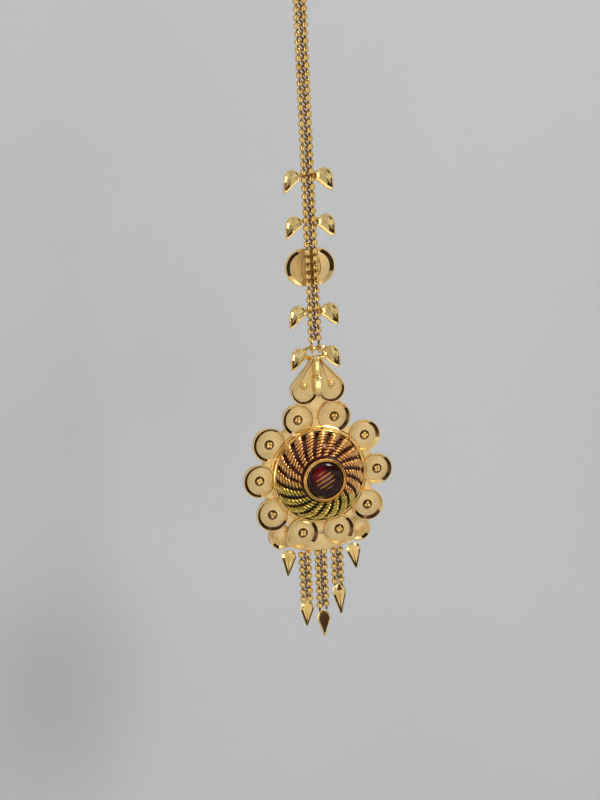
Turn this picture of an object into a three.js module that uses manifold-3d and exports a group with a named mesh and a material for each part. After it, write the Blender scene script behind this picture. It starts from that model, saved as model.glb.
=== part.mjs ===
// Maang tikka: a forehead jewel that hangs from a hair hook on a double-row chain.
// Millimetres, +Z up, the front of the jewel faces -Y. The origin is the inside top of the hook's crook,
// where the jewel hangs. Heights below are measured from the middle of the rosette unless they say otherwise.

import * as THREE from "three";
import { ConvexGeometry } from "three/addons/geometries/ConvexGeometry.js";
import { mergeVertices } from "three/addons/utils/BufferGeometryUtils.js";
import Module from "manifold-3d";

const wasm = await Module();
wasm.setup();

// ---------------------------------------------------------------- driving dimensions

const ROSETTE_Z = -98.3; // middle of the rosette, measured from the origin
const GAP = 0.3; // clearance between neighbouring pieces

const HOOK = {
  wire: 1.1,
  innerWidth: 5.0,
  leg: 2.3, // straight length of each side of the crook
  flick: 0.5, // how far the free end turns outwards
  shankFoot: -8.4,
  barZ: -11.2,
  barHalf: 2.1,
  barWire: 0.8,
};

const CHAIN = { width: 2.8, thick: 1.3, step: 3.0, ringWall: 0.35, ringWide: 0.6, ringSpread: 0.7 };

const PIVOT = { z: 23.4, pin: 0.7, half: 2.0 }; // the cross pin that the pendant swings on

const LEAF = { heights: [54.3, 46.0, 29.8], topHeight: 21.9, bar: 0.9, wall: 0.8, sink: 0.35 };

const TWIN_DISC = { z: 38.1, radius: 3.45, spread: 1.2, face: 2.75, deep: 1.5, recess: 0.35 };

const PLATE = { back: 1.2, radius: 9.6, front: 0.55, collarIn: 8.35, collarOut: 8.95, collarFront: 1.25 };

const PETAL = { count: 10, pitch: 10.8, radius: 3.2, face: 2.3, front: 1.0, recess: 0.6, grain: 0.8 };

const HEART = {
  bulbX: 2.65,
  bulbZ: 15.9,
  radius: 2.8,
  tipX: 0.5,
  tipZ: 21.9,
  rim: 0.6,
  front: 1.1,
  recess: 0.65,
  grainZ: 16.8,
  grain: 0.65,
  ribbonHalf: 0.72,
  ribbonTop: 21.9,
  ribbonFoot: 15.5,
  ribbonFront: 1.5,
};

const FOOT = {
  barTop: -11.0,
  barFoot: -14.3,
  barHalf: 6.6,
  barRise: 1.6, // how much the ends of the bar stand above its middle
  front: 0.75,
  fanX: 7.7,
  fanZ: -11.4,
  fanRadius: 2.4,
  fanFront: 0.3,
  leafX: 6.0,
  leafTop: -12.6,
  leafFoot: -18.9,
  leafHalf: 1.22,
};

const DOME = { ribs: 20, swell: 0.32, wall: 0.7, foot: 0.85, segmentsPerRib: 4 };

const BEZEL = { radius: 4.0, bore: 3.4, rim: 5.25, cupFoot: 3.3, floor: 3.9, stem: 3.0 };

const STONE = { radius: 3.28, foot: 4.0, girdle: 4.75, crown: 5.75 };

const FRINGE = { width: 2.6, thick: 1.2 };

const STRANDS = [
  { name: "left", x: -3.15, foot: -23.4, drop: 5.2 },
  { name: "middle", x: -0.1, foot: -25.6, drop: 5.4 },
  { name: "right", x: 2.95, foot: -20.7, drop: 6.3 },
];

const PENDANT_BACK = 0.415; // how far the pendant stands back from the chain, so that it hangs plumb on its pin

// ---------------------------------------------------------------- solids

const WELD = 1e-4;

/** One closed mesh: shared corners merged and the triangles that collapse at a pole dropped. */
function welded(geometry) {
  const bare = new THREE.BufferGeometry();
  bare.setAttribute("position", geometry.getAttribute("position"));
  bare.setIndex(geometry.index);
  const merged = mergeVertices(bare, WELD);
  const corners = merged.index.array;
  const kept = [];
  for (let i = 0; i < corners.length; i += 3) {
    const [a, b, c] = [corners[i], corners[i + 1], corners[i + 2]];
    if (a !== b && b !== c && c !== a) kept.push(a, b, c);
  }
  merged.setIndex(kept);
  return merged;
}

function solidOf(geometry) {
  const mesh = welded(geometry);
  const vertProperties = new Float32Array(mesh.getAttribute("position").array);
  const triVerts = new Uint32Array(mesh.index.array);
  return new wasm.Manifold(new wasm.Mesh({ numProp: 3, vertProperties, triVerts }));
}

function geometryOf(solid) {
  const mesh = solid.getMesh();
  const geometry = new THREE.BufferGeometry();
  geometry.setAttribute("position", new THREE.BufferAttribute(new Float32Array(mesh.vertProperties), 3));
  geometry.setIndex(new THREE.BufferAttribute(new Uint32Array(mesh.triVerts), 1));
  geometry.computeVertexNormals();
  return geometry;
}

/** Solders geometries into one solid. */
function soldered(geometries) {
  let whole = solidOf(geometries[0]);
  for (const geometry of geometries.slice(1)) whole = whole.add(solidOf(geometry));
  return geometryOf(whole);
}

function cutFrom(geometry, tools) {
  let rest = solidOf(geometry);
  for (const tool of tools) rest = rest.subtract(solidOf(tool));
  return geometryOf(rest);
}

/** A flat outline in the front view, given thickness from its back face to its front face. */
function slab(outline, back, front, curveSegments = 12) {
  const geometry = new THREE.ExtrudeGeometry(outline, { depth: back + front, bevelEnabled: false, curveSegments });
  return geometry.rotateX(Math.PI / 2).translate(0, back, 0);
}

/** A turned piece whose axis points to the front. Profile rows are [radius, height towards the front]. */
function turned(profile, segments, x = 0, z = 0) {
  const points = profile.map(([radius, height]) => new THREE.Vector2(radius, height));
  return new THREE.LatheGeometry(points, segments).rotateX(Math.PI).translate(x, 0, z);
}

/** A round wire along a curve. */
function wire(curve, diameter, steps, sides = 10) {
  const section = new THREE.Shape().absarc(0, 0, diameter / 2, 0, 2 * Math.PI);
  return new THREE.ExtrudeGeometry(section, {
    steps,
    bevelEnabled: false,
    extrudePath: curve,
    curveSegments: sides / 2,
  });
}

function rod(from, to, diameter) {
  return wire(new THREE.LineCurve3(from, to), diameter, 1, 8);
}

function ball(diameter, x, y, z) {
  return new THREE.SphereGeometry(diameter / 2, 10, 8).translate(x, y, z);
}

/** A small closed ring about the X axis, the end link of one row of the chain. */
function endLink(boreRadius, x, z) {
  const inner = boreRadius;
  const outer = boreRadius + CHAIN.ringWall;
  const half = CHAIN.ringWide / 2;
  const profile = [
    [inner, -half],
    [outer, -half],
    [outer, half],
    [inner, half],
    [inner, -half],
  ].map(([radius, height]) => new THREE.Vector2(radius, height));
  return new THREE.LatheGeometry(profile, 14).rotateZ(Math.PI / 2).translate(x, 0, z);
}

function circle(x, z, radius) {
  return new THREE.Shape().absarc(x, z, radius, 0, 2 * Math.PI);
}

function rectangle(left, right, low, high) {
  const shape = new THREE.Shape();
  shape.moveTo(left, low).lineTo(right, low).lineTo(right, high).lineTo(left, high).closePath();
  return shape;
}

// ---------------------------------------------------------------- hook and chain

function hookGeometry() {
  const reach = (HOOK.innerWidth + HOOK.wire) / 2;
  const middle = HOOK.wire / 2 - reach;
  const legFoot = middle - HOOK.leg;
  const route = [
    new THREE.Vector3(-reach - HOOK.flick, 0, legFoot - HOOK.flick),
    new THREE.Vector3(-reach, 0, legFoot + HOOK.flick),
  ];
  const turns = 10;
  for (let i = 0; i <= turns; i += 1) {
    const angle = Math.PI * (1 - i / turns);
    route.push(new THREE.Vector3(reach * Math.cos(angle), 0, middle + reach * Math.sin(angle)));
  }
  route.push(new THREE.Vector3(reach, 0, legFoot));
  route.push(new THREE.Vector3(reach * 0.45, 0, (legFoot + HOOK.shankFoot) / 2 - HOOK.flick));
  route.push(new THREE.Vector3(0, 0, HOOK.shankFoot));
  const crook = wire(new THREE.CatmullRomCurve3(route, false, "centripetal"), HOOK.wire, 40);

  const apex = new THREE.Vector3(0, 0, HOOK.shankFoot + HOOK.barWire / 2);
  const left = new THREE.Vector3(-HOOK.barHalf, 0, HOOK.barZ);
  const right = new THREE.Vector3(HOOK.barHalf, 0, HOOK.barZ);
  return soldered([
    crook,
    rod(apex, left, HOOK.barWire),
    rod(apex, right, HOOK.barWire),
    rod(left, right, HOOK.barWire),
    ball(HOOK.barWire, left.x, 0, left.z),
    ball(HOOK.barWire, right.x, 0, right.z),
    ball(HOOK.wire, 0, 0, HOOK.shankFoot),
  ]);
}

/** The section of a double-row chain: two rounds side by side, as one oval. */
function ovalSection(width, thick) {
  const radius = thick / 2;
  const side = width / 2 - radius;
  const shape = new THREE.Shape();
  shape.moveTo(side, -radius);
  shape.absarc(side, 0, radius, -Math.PI / 2, Math.PI / 2);
  shape.absarc(-side, 0, radius, Math.PI / 2, 1.5 * Math.PI);
  return shape;
}

function strand(width, thick, x, top, foot) {
  const steps = Math.ceil((top - foot) / CHAIN.step);
  const section = ovalSection(width, thick);
  const settings = { depth: top - foot, steps, bevelEnabled: false, curveSegments: 2 };
  return new THREE.ExtrudeGeometry(section, settings).translate(x, 0, foot);
}

function chainGeometry() {
  const upperBore = HOOK.barWire / 2 + GAP;
  const lowerBore = PIVOT.pin / 2 + GAP;
  const pinZ = ROSETTE_Z + PIVOT.z;
  const top = HOOK.barZ - upperBore - CHAIN.ringWall / 2;
  const foot = pinZ + lowerBore + CHAIN.ringWall / 2;
  const pieces = [strand(CHAIN.width, CHAIN.thick, 0, top, foot)];
  for (const x of [-CHAIN.ringSpread, CHAIN.ringSpread]) {
    pieces.push(endLink(upperBore, x, HOOK.barZ));
    pieces.push(endLink(lowerBore, x, pinZ));
  }
  return soldered(pieces);
}

// ---------------------------------------------------------------- leaf pairs and twin disc

/** One drooping diamond-cut leaf of a pair. side is 1 on the right and -1 on the left. */
function leaf(side) {
  const edge = [
    [1.75, 1.0],
    [2.6, 1.7],
    [3.8, 1.25],
    [4.5, 0.0],
    [4.55, -2.2],
    [3.4, -1.7],
    [2.3, -0.7],
    [1.75, -0.15],
  ];
  const ridge = [
    [2.1, 0.65],
    [3.2, 0.35],
    [4.1, -0.9],
  ];
  const points = [];
  for (const [x, z] of edge) {
    points.push(new THREE.Vector3(side * x, -0.05, z), new THREE.Vector3(side * x, LEAF.wall, z));
  }
  ridge.forEach(([x, z]) => points.push(new THREE.Vector3(side * x, -0.75, z)));
  return new ConvexGeometry(points);
}

/** A leaf hollowed from the back, so that only its shell is left. */
function hollowLeaf(side) {
  const middle = [side * 3.2, -0.2];
  const core = leaf(side)
    .translate(-middle[0], 0, -middle[1])
    .scale(0.68, 1, 0.68)
    .translate(middle[0], LEAF.sink, middle[1]);
  return cutFrom(leaf(side), [core]);
}

function leafPairGeometry(height, barBack, barFront) {
  const bar = slab(rectangle(-1.95, 1.95, -LEAF.bar / 2, LEAF.bar / 2), barBack, barFront).translate(0, 0, 0.35);
  const cheeks = [-1, 1].map((side) => {
    const outline = rectangle(side * 1.95 - 0.25, side * 1.95 + 0.25, -0.1, 0.8);
    return slab(outline, barBack, -0.1);
  });
  const pair = soldered([bar, ...cheeks, hollowLeaf(-1), hollowLeaf(1)]);
  return pair.translate(0, 0, ROSETTE_Z + height);
}

function twinDiscGeometry() {
  const front = -(CHAIN.thick / 2 + GAP);
  const back = TWIN_DISC.deep - front;
  const rims = [];
  const faces = [];
  const hollows = [];
  for (const x of [-TWIN_DISC.spread, TWIN_DISC.spread]) {
    rims.push(slab(circle(x, 0, TWIN_DISC.radius), back, front, 14));
    faces.push(slab(circle(x, 0, TWIN_DISC.face), -front + TWIN_DISC.recess, -front + 1, 12));
    hollows.push(slab(circle(x, 0, TWIN_DISC.face), back + 1, front - 2 * TWIN_DISC.recess, 12));
  }
  const spine = slab(rectangle(-0.25, 0.25, -3.1, 3.1), back - 0.2, front - TWIN_DISC.recess / 2);
  const cup = cutFrom(soldered(rims), [...faces, ...hollows]);
  return soldered([cup, spine]).translate(0, 0, ROSETTE_Z + TWIN_DISC.z);
}

// ---------------------------------------------------------------- pendant

/** One cup petal: a straight wall, a bevelled rim, a sunk face and the grain in its middle. */
function petal(x, z) {
  const profile = [
    [0, -PLATE.back],
    [PETAL.radius, -PLATE.back],
    [PETAL.radius, PETAL.front - 0.25],
    [PETAL.radius - 0.2, PETAL.front],
    [PETAL.face, PETAL.recess],
    [PETAL.grain, PETAL.recess],
    [PETAL.grain * 0.6, PETAL.recess + 0.4],
    [0, PETAL.recess + 0.5],
  ];
  return turned(profile, 20, x, z);
}

function teardropOutline(side, inset) {
  const radius = HEART.radius - inset;
  const tip = new THREE.Vector2(side * HEART.tipX, HEART.tipZ - 2.2 * inset);
  const bulb = new THREE.Vector2(side * HEART.bulbX, HEART.bulbZ);
  const reach = tip.distanceTo(bulb);
  const axis = Math.atan2(tip.y - bulb.y, tip.x - bulb.x);
  const spread = Math.acos(radius / reach);
  const shape = new THREE.Shape();
  shape.moveTo(tip.x, tip.y);
  shape.lineTo(bulb.x + radius * Math.cos(axis + spread), bulb.y + radius * Math.sin(axis + spread));
  shape.absarc(bulb.x, bulb.y, radius, axis + spread, axis - spread + 2 * Math.PI);
  shape.closePath();
  return shape;
}

function heartPieces() {
  const pieces = [];
  for (const side of [-1, 1]) {
    const cup = slab(teardropOutline(side, 0), PLATE.back, HEART.front, 10);
    const face = slab(teardropOutline(side, HEART.rim), -HEART.recess, HEART.front + 1, 9);
    pieces.push(cutFrom(cup, [face]));
    const grain = new THREE.SphereGeometry(HEART.grain, 10, 8);
    pieces.push(grain.translate(side * HEART.bulbX, -HEART.recess, HEART.grainZ));
  }
  const ribbon = rectangle(-HEART.ribbonHalf, HEART.ribbonHalf, HEART.ribbonFoot, HEART.ribbonTop);
  pieces.push(slab(ribbon, PLATE.back, HEART.ribbonFront));
  pieces.push(slab(rectangle(-1.3, 1.3, 11.6, 14.6), PLATE.back, PLATE.front));
  return pieces;
}

/** The pin that the chain's last links turn on, with the arms that carry it and the top pair of leaves. */
function bailPieces() {
  const pinY = -PENDANT_BACK;
  const left = new THREE.Vector3(-PIVOT.half, pinY, PIVOT.z);
  const right = new THREE.Vector3(PIVOT.half, pinY, PIVOT.z);
  const pieces = [rod(left, right, PIVOT.pin)];
  for (const side of [-1, 1]) {
    const shoulder = new THREE.Vector3(side * PIVOT.half, pinY, PIVOT.z);
    const foot = new THREE.Vector3(side * PIVOT.half, 0.3, LEAF.topHeight + 0.2);
    pieces.push(rod(shoulder, foot, PIVOT.pin - 0.1), ball(PIVOT.pin, shoulder.x, shoulder.y, shoulder.z));
    pieces.push(hollowLeaf(side).translate(0, 0, LEAF.topHeight));
  }
  const yoke = rectangle(-1.95, 1.95, LEAF.topHeight - 0.75, LEAF.topHeight + 0.1);
  pieces.push(slab(yoke, PLATE.back, -0.1));
  return pieces;
}

/** The curved bar below the rosette that carries the fringe, with its two fans and two end leaves. */
function footPieces() {
  const bar = new THREE.Shape();
  bar.moveTo(-FOOT.barHalf, FOOT.barFoot + FOOT.barRise);
  bar.quadraticCurveTo(0, FOOT.barFoot - FOOT.barRise, FOOT.barHalf, FOOT.barFoot + FOOT.barRise);
  bar.lineTo(FOOT.barHalf, FOOT.barTop + FOOT.barRise);
  bar.lineTo(0, FOOT.barTop);
  bar.lineTo(-FOOT.barHalf, FOOT.barTop + FOOT.barRise);
  const pieces = [slab(bar, PLATE.back, FOOT.front, 10)];
  for (const side of [-1, 1]) {
    pieces.push(slab(circle(side * FOOT.fanX, FOOT.fanZ, FOOT.fanRadius), PLATE.back, FOOT.fanFront, 12));
    const levels = [
      [0.5, FOOT.leafTop, 0.5],
      [FOOT.leafHalf, FOOT.leafTop - 2.6, 0.7],
      [FOOT.leafHalf * 0.9, FOOT.leafTop - 3.9, 0.65],
      [0.05, FOOT.leafFoot, 0.05],
    ];
    const points = [];
    for (const [half, z, front] of levels) {
      for (const x of [-half, half]) {
        const place = side * FOOT.leafX + x;
        points.push(new THREE.Vector3(place, -front * 0.4, z), new THREE.Vector3(place, PLATE.back - 0.4, z));
      }
      points.push(new THREE.Vector3(side * FOOT.leafX, -front, z));
    }
    pieces.push(new ConvexGeometry(points));
  }
  return pieces;
}

function pendantFrameGeometry() {
  const plate = slab(circle(0, 0, PLATE.radius), PLATE.back, PLATE.front, 24);
  const collar = turned(
    [
      [PLATE.collarIn, 0],
      [PLATE.collarOut, 0],
      [PLATE.collarOut, PLATE.collarFront - 0.2],
      [PLATE.collarIn + 0.25, PLATE.collarFront],
      [PLATE.collarIn, PLATE.collarFront - 0.1],
      [PLATE.collarIn, 0],
    ],
    48,
  );
  const pieces = [plate, collar, ...heartPieces(), ...bailPieces(), ...footPieces()];
  for (let i = 0; i < PETAL.count; i += 1) {
    const angle = (2 * Math.PI * (i + 0.5)) / PETAL.count;
    pieces.push(petal(PETAL.pitch * Math.sin(angle), PETAL.pitch * Math.cos(angle)));
  }
  const domeSeat = slab(circle(0, 0, PLATE.collarIn), -PLATE.front, PLATE.front + PETAL.front, 24);
  return cutFrom(soldered(pieces), [domeSeat]);
}

/** The ribbed dome, an open shell whose ribs sweep round as they climb. */
function domeGeometry() {
  const outer = [
    [8.0, DOME.foot],
    [7.75, 1.9],
    [7.1, 2.9],
    [6.1, 3.7],
    [5.0, 4.2],
    [BEZEL.radius + GAP, 4.35],
  ];
  const inner = outer.map(([radius, height], i) => {
    const side = i < outer.length - 2 ? DOME.wall : 0;
    const drop = i === 0 ? 0 : DOME.wall;
    return [radius - side, height - drop];
  });
  inner.reverse();
  inner[0][0] = BEZEL.radius + GAP;
  const profile = [...outer, ...inner, outer[0]];
  const shell = turned(profile, DOME.ribs * DOME.segmentsPerRib);
  const place = shell.getAttribute("position");
  const top = outer[outer.length - 1][1];
  for (let i = 0; i < place.count; i += 1) {
    const point = new THREE.Vector3().fromBufferAttribute(place, i);
    const radius = Math.hypot(point.x, point.z);
    const climb = (-point.y - DOME.foot) / (top - DOME.foot);
    const onRib = radius > BEZEL.radius + 2 * GAP && outer.some(([r]) => Math.abs(r - radius) < 1e-3);
    const angle = Math.atan2(point.x, point.z);
    const wave = onRib && climb > 0.05 ? DOME.swell * Math.cos(DOME.ribs * angle) : 0;
    const sweep = 0.25 * climb;
    const swept = angle + sweep;
    place.setXYZ(i, (radius + wave * 0.5) * Math.sin(swept), point.y - Math.max(wave, -DOME.swell) * 0.8,
      (radius + wave * 0.5) * Math.cos(swept));
  }
  return welded(shell);
}

function bezelGeometry() {
  return turned(
    [
      [0, DOME.foot],
      [BEZEL.stem, DOME.foot],
      [BEZEL.stem, BEZEL.cupFoot - 0.4],
      [BEZEL.radius, BEZEL.cupFoot],
      [BEZEL.radius, BEZEL.rim - 0.2],
      [BEZEL.radius - 0.2, BEZEL.rim],
      [BEZEL.bore + 0.05, BEZEL.rim - 0.1],
      [BEZEL.bore, BEZEL.floor],
      [0, BEZEL.floor],
    ],
    48,
  );
}

function stoneGeometry() {
  const profile = [
    [0, STONE.foot],
    [STONE.radius, STONE.foot],
    [STONE.radius, STONE.girdle],
  ];
  const rings = 5;
  for (let i = 1; i <= rings; i += 1) {
    const angle = (Math.PI / 2) * (i / rings);
    const radius = i === rings ? 0 : STONE.radius * Math.cos(angle);
    profile.push([radius, STONE.girdle + (STONE.crown - STONE.girdle) * Math.sin(angle)]);
  }
  return turned(profile, 40);
}

/** A pointed bud, cut with flats all round, that hangs at the foot of a fringe strand. */
function budGeometry(length) {
  const levels = [
    [0.5, 0.4, 0],
    [1.25, 0.85, 0.3],
    [1.1, 0.75, 0.55],
    [0.06, 0.06, 1],
  ];
  const points = [];
  for (const [half, deep, share] of levels) {
    for (let i = 0; i < 6; i += 1) {
      const angle = (Math.PI * i) / 3;
      points.push(new THREE.Vector3(half * Math.cos(angle), deep * Math.sin(angle), -share * length));
    }
  }
  return new ConvexGeometry(points);
}

// ---------------------------------------------------------------- the jewel

const satinGold = { color: 0xc8ae70, roughness: 0.45, metalness: 1 };
const polishedGold = { color: 0xd9b65a, roughness: 0.18, metalness: 1 };
const lacqueredGold = { color: 0xa8642c, roughness: 0.3, metalness: 0.8 };
const garnet = { color: 0x4a0712, roughness: 0.05, metalness: 0 };

function piece(name, geometry, finish) {
  const mesh = new THREE.Mesh(geometry, new THREE.MeshStandardMaterial(finish));
  mesh.name = name;
  return mesh;
}

function pendant() {
  const group = new THREE.Group();
  group.position.set(0, PENDANT_BACK, ROSETTE_Z);
  group.add(piece("pendant_frame", pendantFrameGeometry(), satinGold));
  group.add(piece("dome", domeGeometry(), lacqueredGold));
  group.add(piece("bezel", bezelGeometry(), polishedGold));
  group.add(piece("stone", stoneGeometry(), garnet));
  for (const { name, x, foot, drop } of STRANDS) {
    const top = FOOT.barFoot - GAP;
    const row = strand(FRINGE.width, FRINGE.thick, x, top, foot + GAP);
    group.add(piece(`fringe_chain_${name}`, row, polishedGold));
    const bud = piece(`bud_${name}`, budGeometry(drop), polishedGold);
    bud.position.set(x, 0, foot);
    group.add(bud);
  }
  return group;
}

const tikka = new THREE.Group();
tikka.add(piece("hook", hookGeometry(), polishedGold));
tikka.add(piece("chain", chainGeometry(), polishedGold));
LEAF.heights.forEach((height, i) => {
  const behindChain = CHAIN.thick / 2 + GAP;
  const pair = leafPairGeometry(height, behindChain + LEAF.bar, -behindChain);
  tikka.add(piece(`leaf_pair_${i + 1}`, pair, polishedGold));
});
tikka.add(piece("twin_disc", twinDiscGeometry(), satinGold));
tikka.add(pendant());

export default tikka;
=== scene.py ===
"""The looks of a maang tikka: a forehead jewel of gold on a double-row chain.

Every piece is made on a bench in millimetres, lying on its back: x to the right, y up along
the chain and z towards the viewer. A Place then stands it up on the jewel, in metres, where
its CAD node says.
"""

import logging
import math
import random
from contextlib import contextmanager
from dataclasses import dataclass, field
from enum import Enum
from itertools import pairwise
from typing import Callable, Iterator, Sequence

import bmesh
import bpy
from mathutils import Matrix, Vector


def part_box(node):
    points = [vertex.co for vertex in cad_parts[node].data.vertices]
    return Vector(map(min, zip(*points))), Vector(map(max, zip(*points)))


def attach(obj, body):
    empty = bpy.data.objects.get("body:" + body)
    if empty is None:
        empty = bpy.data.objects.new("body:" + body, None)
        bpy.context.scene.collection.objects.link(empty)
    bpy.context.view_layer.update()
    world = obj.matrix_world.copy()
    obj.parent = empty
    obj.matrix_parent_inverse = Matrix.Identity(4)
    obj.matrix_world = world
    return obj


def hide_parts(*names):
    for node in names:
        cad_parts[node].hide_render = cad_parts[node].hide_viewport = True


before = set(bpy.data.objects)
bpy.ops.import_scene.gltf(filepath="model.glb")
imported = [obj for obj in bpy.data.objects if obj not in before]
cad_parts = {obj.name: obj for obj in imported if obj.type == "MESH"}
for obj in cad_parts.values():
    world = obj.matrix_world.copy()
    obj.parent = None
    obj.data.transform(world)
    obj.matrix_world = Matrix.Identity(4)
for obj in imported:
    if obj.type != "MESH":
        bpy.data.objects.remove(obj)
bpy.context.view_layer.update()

log = logging.getLogger("tikka")

MM = 0.001
# How far the chain and the heart hang to the right of the rosette's middle, in millimetres.
HANG_SHIFT = 0.5
# The chain's end links, in millimetres: how far they reach past the bar and the pin that they
# turn on, where the rows begin, and their wire.
BAR_RING_REACH = 1.05
PIN_RING_REACH = 1.0
RING_GAP = 0.75
RING_WIRE = 0.17
# How far the leaves' tops rise above the middle of their cross bar's place, in millimetres.
LEAF_RISE = 1.7
FULL_TURN = 2 * math.pi
SMOOTH_ANGLE = math.radians(32)
BUMP_DEPTH = 0.02 * MM

Colour = tuple[float, float, float]
Point = tuple[float, float, float]
FlatPoint = tuple[float, float]
Wired = bpy.types.NodeSocket
Piece = bpy.types.Object
Chord = tuple[FlatPoint, FlatPoint]


# ---------------------------------------------------------------- the bench: ways of shaping metal


class Body(Enum):
    """The two bodies that pieces ride on."""

    CHAIN = "chain_and_hook"
    PENDANT = "pendant"


@dataclass(frozen=True)
class Place:
    """Where the bench's origin lands on the jewel, in metres."""

    x: float
    y: float
    z: float

    def matrix(self) -> Matrix:
        """The move from the bench, in millimetres, to the jewel, in metres."""
        stand_up = Matrix.Rotation(math.pi / 2, 4, "X")
        return Matrix.Translation((self.x, self.y, self.z)) @ stand_up @ Matrix.Scale(MM, 4)


def pick_only(*pieces: Piece) -> None:
    """Selects these pieces and nothing else, and makes the first one active."""
    bpy.ops.object.select_all(action="DESELECT")
    for piece in pieces:
        piece.select_set(True)
    bpy.context.view_layer.objects.active = pieces[0]


@contextmanager
def editing(piece: Piece, pick: str = "FACE") -> Iterator[None]:
    """Opens a piece in edit mode, all selected, for the length of a with block.

    Args:
        piece: The piece to shape.
        pick: What is selected in the block: VERT, EDGE or FACE.
    """
    pick_only(piece)
    bpy.ops.object.mode_set(mode="EDIT")
    bpy.ops.mesh.select_mode(type=pick)
    bpy.ops.mesh.select_all(action="SELECT")
    yield
    bpy.ops.object.mode_set(mode="OBJECT")


def pick_faces(piece: Piece, wanted: Callable[[Vector, Vector], bool]) -> None:
    """Selects the faces of a piece in edit mode by their place and normal.

    Args:
        piece: The piece, already in edit mode.
        wanted: Takes a face's centre and normal and says whether it is wanted.
    """
    shape = bmesh.from_edit_mesh(piece.data)
    for face in shape.faces:
        face.select_set(wanted(face.calc_center_median(), face.normal))
    shape.select_flush_mode()
    bmesh.update_edit_mesh(piece.data)


def lift(rise: float) -> None:
    """Extrudes what is selected straight up."""
    bpy.ops.mesh.extrude_region_move(TRANSFORM_OT_translate={"value": (0, 0, rise)})


def push_up(rise: float, spread: float = 1.0, about: FlatPoint = (0.0, 0.0)) -> None:
    """Extrudes what is selected straight up and scales it in plan.

    Args:
        rise: How far up the new face goes.
        spread: The new outline's size as a share of the old one.
        about: The point in plan that the scaling is about.
    """
    lift(rise)
    if spread != 1.0:
        bpy.ops.transform.resize(value=(spread, spread, 1), center_override=(*about, 0))


def inset(thickness: float, depth: float) -> None:
    """Insets what is selected and lifts the new face by a depth."""
    bpy.ops.mesh.inset(thickness=thickness, depth=depth, use_outset=False)


def turn_on_lathe(name: str, rows: Sequence[FlatPoint], sides: int, ring: bool = False) -> Piece:
    """Turns a piece about the axis that points to the viewer.

    Args:
        name: The piece's name.
        rows: [radius, height] pairs from the back to the front.
        sides: How many flats make up the round.
        ring: True for a ring with an open middle, whose last row meets its first.

    Returns:
        The turned piece.
    """
    radius, height = rows[0]
    fill = "NOTHING" if ring else "NGON"
    at = (0, 0, height)
    bpy.ops.mesh.primitive_circle_add(vertices=sides, radius=radius, fill_type=fill, location=at)
    piece = bpy.context.object
    piece.name = name
    bpy.ops.object.transform_apply()
    with editing(piece, "EDGE" if ring else "FACE"):
        for (r0, h0), (r1, h1) in pairwise(rows):
            if r1 == 0:
                push_up(h1 - h0)
                bpy.ops.mesh.merge(type="CENTER")
                break
            push_up(h1 - h0, r1 / r0)
        if ring:
            bpy.ops.mesh.select_all(action="SELECT")
            bpy.ops.mesh.remove_doubles(threshold=0.001)
        bpy.ops.mesh.select_all(action="SELECT")
        bpy.ops.mesh.normals_make_consistent(inside=False)
    return piece


def cut_sheet(name: str, outline: Sequence[FlatPoint], height: float) -> Piece:
    """Cuts a flat sheet to an outline.

    Args:
        name: The piece's name.
        outline: The points of the outline, counter-clockwise.
        height: How high above the bench the sheet lies.

    Returns:
        The sheet, one face.
    """
    bpy.ops.mesh.primitive_circle_add(vertices=len(outline), radius=1, fill_type="NGON")
    sheet = bpy.context.object
    sheet.name = name
    for corner, (x, y) in zip(sheet.data.vertices, outline):
        corner.co = (x, y, height)
    with editing(sheet):
        bpy.ops.mesh.normals_make_consistent(inside=False)
    if sheet.data.polygons[0].normal.z < 0:
        sheet.data.flip_normals()
    return sheet


def bend_wire(
    name: str, points: Sequence[Point], thick: float, closed: bool = False, fine: int = 3
) -> Piece:
    """Bends a round wire through points.

    Args:
        name: The piece's name.
        points: What the middle of the wire passes through.
        thick: The wire's diameter.
        closed: True for a ring of wire.
        fine: How finely the wire's round is divided.

    Returns:
        The wire, as a mesh.
    """
    bpy.ops.object.select_all(action="DESELECT")
    bpy.ops.curve.primitive_bezier_curve_add()
    wire = bpy.context.object
    wire.name = name
    spline = wire.data.splines[0]
    spline.bezier_points.add(len(points) - len(spline.bezier_points))
    for knot, point in zip(spline.bezier_points, points):
        knot.co = point
        knot.handle_left_type = "AUTO"
        knot.handle_right_type = "AUTO"
    spline.use_cyclic_u = closed
    wire.data.bevel_depth = thick / 2
    wire.data.bevel_resolution = fine
    wire.data.resolution_u = 6
    wire.data.use_fill_caps = True
    bpy.ops.object.convert(target="MESH")
    wire = bpy.context.object
    with editing(wire):
        bpy.ops.mesh.normals_make_consistent(inside=False)
    return wire


def make_ball(name: str, radius: float, flat: float = 1.0, segments: int = 16) -> Piece:
    """Makes a granule: a ball, flattened towards the bench and settled on it."""
    rings = segments // 2 + 2
    bpy.ops.mesh.primitive_uv_sphere_add(segments=segments, ring_count=rings, radius=radius)
    ball = bpy.context.object
    ball.name = name
    with editing(ball):
        bpy.ops.transform.resize(value=(1, 1, flat))
    return ball


def make_link_ring(
    name: str, radius: float, wire: float, tall: float, sides: tuple[int, int]
) -> Piece:
    """Makes one closed ring whose axis points up the bench's z, stretched along that axis.

    Args:
        name: The piece's name.
        radius: The radius of the wire's middle line.
        wire: The wire's radius.
        tall: How much the ring is stretched along its axis.
        sides: Flats round the ring and round its wire.

    Returns:
        The ring.
    """
    bpy.ops.mesh.primitive_torus_add(
        major_radius=radius, minor_radius=wire, major_segments=sides[0], minor_segments=sides[1]
    )
    ring = bpy.context.object
    ring.name = name
    with editing(ring):
        bpy.ops.transform.resize(value=(1, 1, tall))
    return ring


def fuse(name: str, pieces: Sequence[Piece]) -> Piece:
    """Joins pieces into one object under a new name."""
    pick_only(*pieces)
    if len(pieces) > 1:
        bpy.ops.object.join()
    whole = bpy.context.view_layer.objects.active
    whole.name = name
    return whole


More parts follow.
